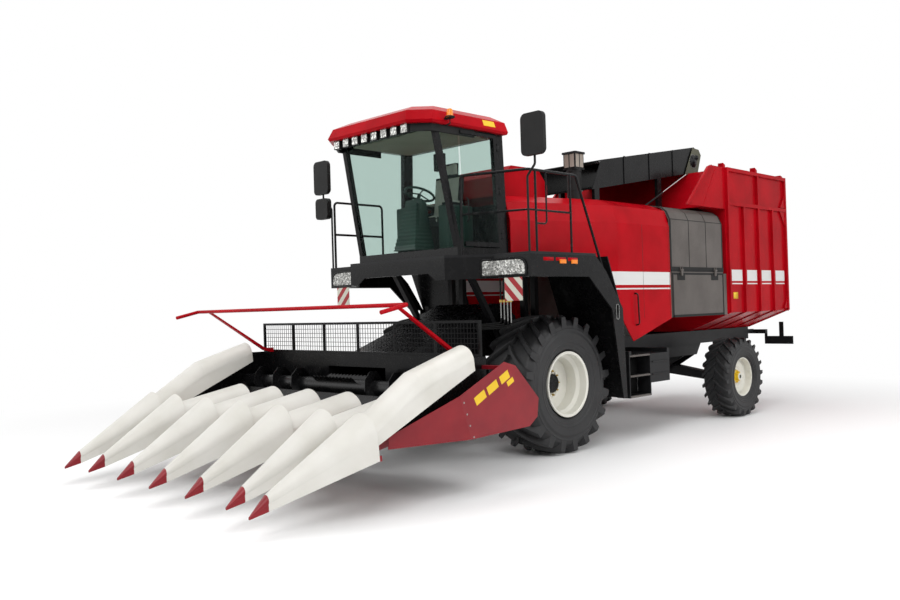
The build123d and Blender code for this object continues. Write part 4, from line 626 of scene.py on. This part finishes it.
def cooling_panel(side, word):
    """Everything that lies on one side's cooling panel and its flap."""
    start = COOL_Y0 + 0.034
    third = (COOL_Y1 - COOL_Y0 - 0.04) / 3
    edges = [panel_strip(COOL_Y0 - 0.006, start, 0.0, PANEL_LONG, 0.008),
             panel_strip(COOL_Y1 - 0.02, COOL_Y1, 0, PANEL_LONG, 0.006),
             block(WALL_X - 0.0005, WALL_X + 0.012, COOL_Y0, COOL_Y1, 2.405, 2.475)]
    for index in range(46):
        y = COOL_Y0 + 0.06 + index * 0.0335
        edges.append(block(WALL_X + 0.011, WALL_X + 0.014, y, y + 0.012, 2.425, 2.437))
    seams = []
    for index in (1, 2):
        middle = start + third * index
        seams.append(panel_strip(middle - 0.006, middle + 0.006, 0.04, PANEL_LONG, 0.004))
    for up in (0.77, 1.03):
        seams.append(panel_strip(COOL_Y0 + 0.03, COOL_Y1 - 0.02, up, up + 0.012, 0.004))
    slats = []
    for index in range(84):
        up = 0.05 + index * 0.014
        slats.append(panel_strip(start, COOL_Y1 - 0.02, up, up + 0.006, 0.0025))
    low = [flap_strip(COOL_Y0 + 0.06, COOL_Y1 - 0.03, z, z + 0.006, 0.008)
           for z in np.arange(1.75, 2.34, 0.014)]
    rim = [flap_strip(COOL_Y0 + 0.031, COOL_Y0 + 0.062, 1.70, 2.385, 0.011),
           flap_strip(COOL_Y1 - 0.032, COOL_Y1 - 0.006, 1.70, 2.385, 0.011),
           flap_strip(COOL_Y0 + 0.031, COOL_Y1 - 0.006, 1.70, 1.738, 0.011),
           flap_strip(COOL_Y0 + 0.031, COOL_Y1 - 0.006, 2.355, 2.385, 0.010)]
    for y in (2.95, 4.0):
        rim.append(block(WALL_X + 0.0035, WALL_X + 0.0125, AXLE + y - 0.11, AXLE + y + 0.11, 2.27, 2.37))
    for label, parts, finish, body in (("edges_upper", edges, "black_plastic", "chassis"),
                                       ("seams_upper", seams, "black_plastic", "chassis"),
                                       ("slats_upper", slats, "grey_mesh", "chassis"),
                                       ("slats_lower", low, "grey_mesh", f"flap_{word}"),
                                       ("edges_lower", rim, "black_plastic", f"flap_{word}")):
        points, faces = together(*[on_side(part, side) for part in parts])
        slot = "grey_mesh" if finish == "grey_mesh" else None
        make_mesh(f"cooling_{label}_{word}", points, faces, finish, body, slot, smooth=False)


for side, word in SIDES:
    cooling_panel(side, word)


# Covers and hopper: handle, label, slots, seams, gussets, caps and the hopper's front wings

def body_trim(side, word):
    """The trim of one side's cover, mudguard and hopper wall."""
    handle = [(side * 1.497, AXLE + 1.66, 2.08), (side * 1.555, AXLE + 1.66, 2.07),
              (side * 1.555, AXLE + 1.68, 1.63), (side * 1.497, AXLE + 1.68, 1.62)]
    bars(f"cover_handle_{word}", [handle], 0.011, "black_paint", "chassis", bend=0.04)
    wing = [(AXLE + 3.17, 3.462), (AXLE + 3.88, 4.12), (AXLE + 3.99, 4.158), (AXLE + 4.44, 4.158),
            (AXLE + 4.44, 3.462)]
    lip = [(AXLE + 3.17, 3.462), (AXLE + 3.88, 4.12), (AXLE + 3.99, 4.158), (AXLE + 3.99, 4.118),
           (AXLE + 3.90, 4.085), (AXLE + 3.225, 3.462)]
    points, faces = together(prism(wing, side * 1.487, side * 1.497, "x"),
                             prism(lip, side * 1.487, side * 1.53, "x"))
    make_mesh(f"hopper_wing_{word}", points, faces, "red_paint", "chassis", bevel=0.003)
    gussets = []
    for y, z, dy, dz in ((4.49, 3.53, 0.22, -0.30), (6.68, 3.53, -0.22, -0.30), (4.49, 1.76, 0.16, 0.22),
                         (6.68, 1.76, -0.16, 0.22), (6.68, 3.60, -0.20, 0.26)):
        corner = [(AXLE + y, z), (AXLE + y + dy, z), (AXLE + y, z + dz)]
        gussets.append(prism(corner, side * 1.501, side * 1.530, "x"))
    make_mesh(f"hopper_gussets_{word}", *together(*gussets), "red_paint", "chassis", bevel=0.003)
    slots = [(side * 1.9295, side * 1.9302, AXLE + y, AXLE + y + 0.2, 2.482, 2.524)
             for y in (-0.93, -0.69, -0.45)]
    blocks(f"fender_slots_{word}", slots, "red_paint", "chassis")
    label = (side * (WALL_X + 0.0001), side * (WALL_X + 0.0008), AXLE + 4.64, AXLE + 4.80, 1.96, 2.07)
    blocks(f"hopper_label_{word}", [label], "yellow", "chassis")
    ring = []
    for a in np.linspace(0.01, 2 * pi - 0.01, 24):
        middle = 1.83 + (0.07 if sin(a) > 0 else -0.07)
        ring.append((side * 1.931, AXLE + 0.59 + 0.03 * cos(a), middle + 0.03 * sin(a)))
    make_mesh(f"slot_rim_{word}", *tube(ring, 0.004, 6, closed=True), "bare_steel", "chassis")
    caps = []
    for y0, y1, height in ((4.43, 4.50, 0.075), (5.58, 5.66, 0.10), (6.60, 6.68, 0.05)):
        outline = [(AXLE + y0, 4.155), (AXLE + y1, 4.155), (AXLE + y1, 4.16 + height * 0.6),
                   (AXLE + y0, 4.16 + height)]
        caps.append(prism(outline, side * 1.40, side * 1.498, "x"))
    make_mesh(f"hopper_caps_{word}", *together(*caps), "red_paint", "chassis", bevel=0.004)
    near, far = side * (WALL_X - 0.0005), side * (WALL_X + 0.0008)
    seams = [(near, far, AXLE + y - 0.003, AXLE + y + 0.003, 1.72, 3.08) for y in (1.90, 2.62)]
    blocks(f"cover_seams_{word}", seams, "black_plastic", "chassis")


for side, word in SIDES:
    body_trim(side, word)


# Conveyor: drive plates with their chain wheels, and the tension rods in their sleeves

DRIVE_Y, DRIVE_Z = AXLE + 4.30, 4.31  # the larger chain wheel's centre
plate = [(AXLE + 4.02, 4.06), (AXLE + 4.30, 4.54), (AXLE + 4.50, 4.53), (AXLE + 4.57, 4.44),
         (AXLE + 4.44, 4.10)]
for side, word in SIDES:
    points, faces = prism(plate, side * 1.0125, side * 1.020, "x")
    make_mesh(f"drive_plate_{word}", points, faces, "olive", "chassis", bevel=0.002)
wheels = []
for y, z, radius in ((DRIVE_Y, DRIVE_Z, 0.11), (AXLE + 4.40, 4.38, 0.05)):
    profile = [(0.020, radius), (0.026, radius), (0.026, radius * 0.82), (0.038, radius * 0.75),
               (0.038, 0.03), (0.055, 0.028), (0.055, 0.001)]
    wheels.append(lathe(profile, (1.0, y, z), 40))
make_mesh("drive_wheels", *together(*wheels), "dark_frame", "chassis")
TEETH = 24
teeth = []
for index in range(TEETH):
    a = 2 * pi * index / TEETH
    y, z = DRIVE_Y + 0.116 * cos(a), DRIVE_Z + 0.116 * sin(a)
    teeth.append((1.021, 1.026, y - 0.006, y + 0.006, z - 0.006, z + 0.006))
blocks("drive_teeth", teeth, "bare_steel", "chassis")
for name, end, radius, finish in (("tension_rods", (1.03, AXLE + 4.03, 4.06), 0.010, "chrome"),
                                  ("tension_sleeves", (1.0475, AXLE + 3.255, 3.70), 0.017, "black_paint")):
    rods = [[(side * 1.06, AXLE + 2.70, 3.45), (side * end[0], *end[1:])] for side in (1, -1)]
    bars(name, rods, radius, finish, "chassis")


# Deck: headlamps in their mouldings, work lamps under the roof, steel pipes below the bumper

FOLD_X = 1.35  # here the bumper's front plate turns forward into its slanted cheek
LAMP_Y = AXLE - 1.171


def headlamp_outline(grow):
    """The lamp's outline from the front: its outer top corner is a large arc, the others are small ones.
    The first half of the points lies outside the fold and the second half inside it."""
    x0, x1, z0, z1 = 1.20 - grow, 1.855 + grow, 2.325 - grow, 2.505 + grow
    outline = []
    for x, z, radius, start in ((x1, z0, 0.02, -90), (x1, z1, 0.11, 0), (x0, z1, 0.03, 90),
                                (x0, z0, 0.02, 180)):
        cx, cz = x - radius if x > 1.5 else x + radius, z - radius if z > 2.4 else z + radius
        for a in np.radians(np.linspace(start, start + 90, 7)):
            outline.append((cx + radius * cos(a), cz + radius * sin(a)))
    return outline[:14] + [(FOLD_X, z1)], [(FOLD_X, z1)] + outline[14:] + [(FOLD_X, z0)]


def on_cheek(points):
    """Turn points by 45 degrees about the fold, from the front plate's plane into the cheek's:
    x = fold - (inward - forward) / sqrt 2, y = plate - (inward + forward) / sqrt 2."""
    flat = np.array(points, dtype=float)
    inward, forward = FOLD_X - flat[:, 0], LAMP_Y - flat[:, 1]
    return np.column_stack([FOLD_X - (inward - forward) / np.sqrt(2),
                            LAMP_Y - (inward + forward) / np.sqrt(2), flat[:, 2]])


LAMP_THICK = 0.020
WORK_LAMPS = [-0.665 + 0.19 * index for index in range(8)]
lenses, frames = [], []
outer, inner = headlamp_outline(0.0)
outer_edge, inner_edge = headlamp_outline(0.012)
for side in (1, -1):
    lenses.append(on_side(prism(outer + [(FOLD_X, outer[0][1])], LAMP_Y - LAMP_THICK, LAMP_Y, "y"), side))
    points, faces = prism(inner, LAMP_Y - LAMP_THICK, LAMP_Y, "y")
    lenses.append(on_side((on_cheek(points), faces), side))
    edge = [(x, LAMP_Y - 0.006, z) for x, z in outer_edge]
    turned = on_cheek([(x, LAMP_Y - 0.006, z) for x, z in inner_edge[1:]])
    frames.append(on_side(tube(np.concatenate([edge, turned]), 0.014, 8, closed=True), side))
for x in WORK_LAMPS:
    lenses.append(block(x - 0.055, x + 0.055, AXLE - 1.980, AXLE - 1.930, 4.095, 4.200))
lamps = make_mesh("lamp_lenses", *together(*lenses), "lamp", "chassis", "lamp", bevel=0.006)
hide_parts("lamps")
make_mesh("headlamp_frames", *together(*frames), "black_paint", "chassis")

PIPE_Y, JOINT_Z = AXLE - 0.90, 2.03  # the pipes' upper ends
pipes, tails, nuts = [], [], []
for index in range(4):
    x, low = 1.20 + 0.055 * index, 1.80 - 0.02 * index
    pipes.append([(x, PIPE_Y, JOINT_Z), (x, PIPE_Y, low)])
    tails.append([(x, PIPE_Y, 2.29), (x, PIPE_Y, JOINT_Z)])
    tails.append([(x, PIPE_Y, low), (x, PIPE_Y, low - 0.06), (0.70, AXLE - 0.86, low - 0.09),
                  (0.70, AXLE - 0.18, low - 0.10)])
    nuts.append((x - 0.013, x + 0.013, PIPE_Y - 0.013, PIPE_Y + 0.013, 1.995, JOINT_Z))
bars("steel_pipes", pipes, 0.008, "bare_steel", "chassis", sides=8)
bars("pipe_tails", tails, 0.010, "black_plastic", "chassis", bend=0.05, sides=8)
blocks("pipe_nuts", nuts, "brass", "chassis", bevel=0.003)


# Cab: roof label, lamp housings, visor, amber lamps, beacon foot, lining, screen, consoles, door grip

def roof_x(z):
    """How far out the roof's sloping side stands at a height."""
    return 1.0 - 0.05 * (z - 4.23) / 0.13


outer_face = [(roof_x(z) + 0.001, AXLE + y, z) for z in (4.268, 4.345) for y in (-0.88, -0.66)]
inner_face = [(x - 0.002, y, z) for x, y, z in outer_face]
label_faces = [(0, 1, 3, 2), (4, 6, 7, 5), (0, 4, 5, 1), (2, 3, 7, 6), (0, 2, 6, 4), (1, 5, 7, 3)]
make_mesh("roof_label", outer_face + inner_face, label_faces, "yellow", "chassis", smooth=False)
housings = [(x - 0.061, x + 0.061, AXLE - 1.974, AXLE - 1.925, 4.089, 4.199) for x in WORK_LAMPS]
blocks("lamp_housings", housings, "black_plastic", "chassis", bevel=0.006)
visor = [(-0.93, AXLE - 1.0), (-0.93, AXLE - 1.75), (-0.74, AXLE - 1.94), (0.74, AXLE - 1.94),
         (0.93, AXLE - 1.75), (0.93, AXLE - 1.0), (0.90, AXLE - 1.0), (0.90, AXLE - 1.735),
         (0.728, AXLE - 1.91), (-0.728, AXLE - 1.91), (-0.90, AXLE - 1.735), (-0.90, AXLE - 1.0)]
make_mesh("visor", *prism(visor, 4.105, 4.201, "z"), "black_plastic", "chassis", bevel=0.004)
BEACON_X, BEACON_Y = 1.07, AXLE - 1.58
dome = [(0.0, 0.001), (0.0, 0.0445), (0.016, 0.0445), (0.018, 0.041), (0.080, 0.039), (0.098, 0.033),
        (0.107, 0.020), (0.110, 0.001)]
amber = [lathe(dome, (BEACON_X, BEACON_Y, 4.262), 40, "z")]
for side in (1, -1):
    for y in (-0.56, -0.33):
        for x, half, z0, z1 in ((1.944, 0.06, 2.45, 2.50), (1.948, 0.05, 2.457, 2.493)):
            near, far = sorted((side * 1.93, side * x))
            amber.append(block(near, far, AXLE + y - half, AXLE + y + half, z0, z1))
lamps = make_mesh("amber_lenses", *together(*amber), "amber", "chassis", "amber", bevel=0.002)
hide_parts("amber_lamps")
foot = lathe([(0.0, 0.001), (0.0, 0.062), (0.010, 0.062), (0.016, 0.052), (0.016, 0.047), (0.0162, 0.001)],
             (BEACON_X, BEACON_Y, 4.2625), 40, "z")
sleeve = block(0.985, 1.118, BEACON_Y - 0.0255, BEACON_Y + 0.0255, 4.2465, 4.2635)
rod = tube([(BEACON_X, BEACON_Y, 4.25), (BEACON_X, BEACON_Y, 4.19), (0.985, BEACON_Y, 4.175)], 0.010, 8)
make_mesh("beacon_foot", *together(foot, sleeve, rod), "black_plastic", "chassis", smooth=False)
lining = [(-0.79, AXLE - 1.60), (0.79, AXLE - 1.60), (0.79, AXLE - 0.57), (-0.79, AXLE - 0.57)]
make_mesh("roof_lining", *prism(lining, 4.165, 4.198, "z"), "beige", "chassis", bevel=0.012)
blocks("screen_box", [(0.50, 0.66, AXLE - 1.33, AXLE - 1.26, 3.70, 3.92),
                      (0.565, 0.595, AXLE - 1.30, AXLE - 1.28, 3.91, 4.17)],
       "black_plastic", "chassis", bevel=0.008)
blocks("seat_console", [(0.32, 0.50, AXLE - 1.10, AXLE - 0.62, 2.72, 3.30),
                        (-0.62, -0.40, AXLE - 1.00, AXLE - 0.58, 2.72, 3.35)],
       "dark_green_plastic", "chassis", bevel=0.02)
GRIP_Y = AXLE - 1.235
grip = [(0.985, GRIP_Y, 3.02), (1.015, GRIP_Y, 3.04), (1.008, GRIP_Y, 3.30), (0.975, GRIP_Y, 3.32)]
bars("door_grip", [grip], 0.010, "black_plastic", "door", bend=0.03)


# Air stack: pale screens between the lantern's posts, clamped sleeve; ladder: back sheet and worn treads

INTAKE_X, INTAKE_Y = 0.80, AXLE + 1.24


def lantern_sheets(half, out):
    """One upright sheet on each of the lantern's four sides; half is its half width, out its outer face."""
    sheets = []
    for side in (1, -1):
        near, far = sorted((side * 0.1050, side * out))
        sheets.append(block(INTAKE_X + near, INTAKE_X + far, INTAKE_Y - half, INTAKE_Y + half, 3.945, 4.135))
        sheets.append(block(INTAKE_X - half, INTAKE_X + half, INTAKE_Y + near, INTAKE_Y + far, 3.945, 4.135))
    return sheets


make_mesh("intake_screens", *together(*lantern_sheets(0.088, 0.1072)), "pale_mesh", "chassis", smooth=False)
SLEEVE_Z = 3.442
sleeve = [(SLEEVE_Z, 0.118), (3.47, 0.118), (3.475, 0.105), (3.60, 0.105), (3.602, 0.110), (3.62, 0.110),
          (3.622, 0.105), (3.88, 0.105), (3.885, 0.112), (3.935, 0.112)]
tower = lathe([(z - SLEEVE_Z, r) for z, r in sleeve], (INTAKE_X, INTAKE_Y, SLEEVE_Z), 48, "z")
points, faces = together(tower, *lantern_sheets(0.009, 0.1085))
make_mesh("intake_sleeve", points, faces, "black_plastic", "chassis", sharp=40)
STEP_Y0, STEP_Y1 = AXLE + 1.32, AXLE + 1.83
blocks("ladder_back", [(1.386, 1.3895, STEP_Y0, STEP_Y1, 0.605, 1.175)], "black_plastic", "chassis")
treads = []
for z in (0.6, 0.89, 1.175):
    treads.append((1.609, 1.6125, STEP_Y0, STEP_Y1, z + 0.002, z + 0.024))
    for index in range(17):
        y = STEP_Y0 + 0.015 + index * 0.029
        treads.append((1.575, 1.609, y, y + 0.014, z + 0.0245, z + 0.028))
blocks("ladder_treads", treads, "grey_mesh", "chassis")


# Seat cushions: blown up as cloth under pressure; the steering column's pleated boot

def slanted(x, low, high):
    """A slab from a low (y0, y1, z) edge pair to a high one, x wide to each side."""
    return prism([(low[0], low[2]), (low[1], low[2]), (high[1], high[2]), (high[0], high[2])], -x, x, "x")


def padded_piece(name, parts, voxel, limit, material):
    """Closed slabs remeshed to small even faces and swollen by cloth pressure, by limit at most."""
    piece = make_mesh(name, *together(*parts), material, "chassis", "seat_cloth")
    even = piece.modifiers.new("even", "REMESH")
    even.mode, even.voxel_size = "VOXEL", voxel
    graph = bpy.context.evaluated_depsgraph_get()
    slab = bpy.data.meshes.new_from_object(piece.evaluated_get(graph))
    piece.modifiers.clear()
    piece.data = slab
    count = len(slab.vertices)
    start = np.empty(count * 3, np.float32)
    slab.vertices.foreach_get("co", start)
    cloth = piece.modifiers.new("cloth", "CLOTH")
    cloth.settings.use_pressure = True
    cloth.settings.uniform_pressure_force = 4
    cloth.settings.effector_weights.gravity = 0
    cloth.settings.tension_stiffness = cloth.settings.compression_stiffness = 12
    for step in range(1, 21):
        bpy.context.scene.frame_set(step)
    graph = bpy.context.evaluated_depsgraph_get()
    blown = bpy.data.meshes.new_from_object(piece.evaluated_get(graph))
    end = np.empty(count * 3, np.float32)
    blown.vertices.foreach_get("co", end)
    piece.modifiers.clear()
    bpy.context.scene.frame_set(1)
    move = (end - start).reshape(-1, 3)
    far = np.linalg.norm(move, axis=1)[:, None]
    move *= np.minimum(1.0, limit / np.maximum(far, 1e-6))
    slab.vertices.foreach_set("co", start + move.ravel())
    slab.update()
    slab.materials.clear()
    slab.materials.append(MATERIALS[material])
    slab.shade_smooth()
    finer = piece.modifiers.new("finer", "SUBSURF")
    finer.levels = finer.render_levels = 1


SEAT_Z = 2.70
pads = [block(-0.245, 0.245, AXLE - 1.055, AXLE - 0.66, SEAT_Z + 0.40, SEAT_Z + 0.47),
        slanted(0.235, (AXLE - 0.660, AXLE - 0.600, SEAT_Z + 0.48),
                (AXLE - 0.590, AXLE - 0.530, SEAT_Z + 1.05)),
        slanted(0.135, (AXLE - 0.575, AXLE - 0.515, SEAT_Z + 1.08),
                (AXLE - 0.560, AXLE - 0.505, SEAT_Z + 1.235))]
padded_piece("seat_pads", pads, 0.011, 0.018, "pale_cloth")
arms = [block(x - 0.032, x + 0.032, AXLE - 0.95, AXLE - 0.60, SEAT_Z + 0.655, SEAT_Z + 0.69)
        for x in (0.27, -0.27)]
padded_piece("arm_pads", arms, 0.009, 0.008, "pale_cloth")
seam = [(x, AXLE + y, SEAT_Z + 0.435)
        for x, y in ((-0.25, -0.66), (-0.25, -1.06), (0.25, -1.06), (0.25, -0.66))]
bars("seat_piping", [rounded(seam, 0.05, 6)], 0.006, "seat_cloth", "chassis", sides=8)
PLEATS = 12
boot = []
for index in range(PLEATS + 1):
    share = index / PLEATS
    z = SEAT_Z + 0.02 + 0.60 * share
    for fold, dz in ((0.016, 0.0), (0.0, 0.025)):
        x, y = 0.20 - 0.10 * share + fold, 0.17 - 0.09 * share + fold
        middle = AXLE - 1.245 + 0.05 * share
        boot += [(u * x, middle + v * y, z + dz) for u, v in ((1, -1), (1, 1), (-1, 1), (-1, -1))]
pleats = grid_faces(len(boot) // 4, 4, wrap_columns=True)
make_mesh("column_boot", boot, pleats, "dark_green_plastic", "chassis", bevel=0.006)


# Stage: floor, light and camera

FLOOR = 300  # half the floor's width
LAMPS = (("key", (9, -14, 13), 9, 1350), ("front", (-9, -12, 8), 10, 520), ("side", (15, 3, 8), 9, 850),
         ("top", (0, 0, 16), 12, 1250))  # name, place, size, power in watts


def white_rays(tree):
    """A mask that is one for rays that show the background: camera, glossy and transmission rays."""
    path = tree.nodes.new("ShaderNodeLightPath")
    seen = [path.outputs[name] for name in ("Is Camera Ray", "Is Glossy Ray", "Is Transmission Ray")]
    return joined_masks(tree.nodes, tree.links, seen, "MAXIMUM")


def stage():
    """A pale floor that fades to white, four soft lamps, and a background that is white where it's seen."""
    world = bpy.data.worlds.new("studio")
    bpy.context.scene.world = world
    world.use_nodes = True
    tree = world.node_tree
    tree.nodes.clear()
    out = tree.nodes.new("ShaderNodeOutputWorld")
    soft, white = tree.nodes.new("ShaderNodeBackground"), tree.nodes.new("ShaderNodeBackground")
    soft.inputs["Color"].default_value = (1, 1, 1, 1)
    soft.inputs["Strength"].default_value = 0.42
    white.inputs["Color"].default_value = (1, 1, 1, 1)
    white.inputs["Strength"].default_value = 1.0
    mix = tree.nodes.new("ShaderNodeMixShader")
    tree.links.new(white_rays(tree), mix.inputs[0])
    tree.links.new(soft.outputs[0], mix.inputs[1])
    tree.links.new(white.outputs[0], mix.inputs[2])
    tree.links.new(mix.outputs[0], out.inputs["Surface"])
    material, nodes, links, out = new_material("floor")
    shader = nodes.new("ShaderNodeBsdfPrincipled")
    shader.inputs["Base Color"].default_value = (0.93, 0.93, 0.93, 1)
    shader.inputs["Roughness"].default_value = 0.6
    shader.inputs["Specular IOR Level"].default_value = 0.1
    far = nodes.new("ShaderNodeEmission")
    far.inputs["Strength"].default_value = 1.0
    place, length = nodes.new("ShaderNodeTexCoord"), nodes.new("ShaderNodeVectorMath")
    length.operation = "LENGTH"
    links.new(place.outputs["Object"], length.inputs[0])
    fade = nodes.new("ShaderNodeMapRange")
    fade.interpolation_type = "SMOOTHSTEP"
    fade.inputs["From Min"].default_value = 5.5
    fade.inputs["From Max"].default_value = 12.0
    links.new(length.outputs["Value"], fade.inputs["Value"])
    merge = nodes.new("ShaderNodeMixShader")
    only = maths(nodes, links, "MULTIPLY", white_rays(material.node_tree), fade.outputs[0])
    links.new(only, merge.inputs[0])
    links.new(shader.outputs[0], merge.inputs[1])
    links.new(far.outputs[0], merge.inputs[2])
    links.new(merge.outputs[0], out.inputs["Surface"])
    mesh = bpy.data.meshes.new("floor")
    mesh.from_pydata([(-FLOOR, -FLOOR, 0), (FLOOR, -FLOOR, 0), (FLOOR, FLOOR, 0), (-FLOOR, FLOOR, 0)], [],
                     [(0, 1, 2, 3)])
    mesh.materials.append(material)
    floor = bpy.data.objects.new("floor", mesh)
    bpy.context.scene.collection.objects.link(floor)
    for name, place, size, power in LAMPS:
        lamp = bpy.data.lights.new(name, "AREA")
        lamp.size = size
        lamp.energy = power
        light = bpy.data.objects.new(name, lamp)
        light.location = place
        aim = Vector((0, 0, 1.6)) - Vector(place)
        light.rotation_euler = aim.to_track_quat("-Z", "Y").to_euler()
        bpy.context.scene.collection.objects.link(light)


def camera():
    """The photograph's viewpoint: yaw, pitch and a slight roll."""
    lens = bpy.data.cameras.new("camera")
    lens.sensor_width = 36
    lens.lens = 34.80
    lens.clip_end = 500
    eye = bpy.data.objects.new("camera", lens)
    yaw, pitch, roll = radians(45.10), radians(0.55), radians(1.713)
    turn = Matrix.Rotation(yaw, 3, "Z") @ Matrix.Rotation(pi / 2 + pitch, 3, "X")
    turn = turn @ Matrix.Rotation(-roll, 3, "Z")
    eye.matrix_world = Matrix.Translation((8.5034, -10.0586, 1.9405)) @ turn.to_4x4()
    bpy.context.scene.collection.objects.link(eye)
    bpy.context.scene.camera = eye


stage()
camera()
bpy.context.scene.view_settings.view_transform = "Standard"
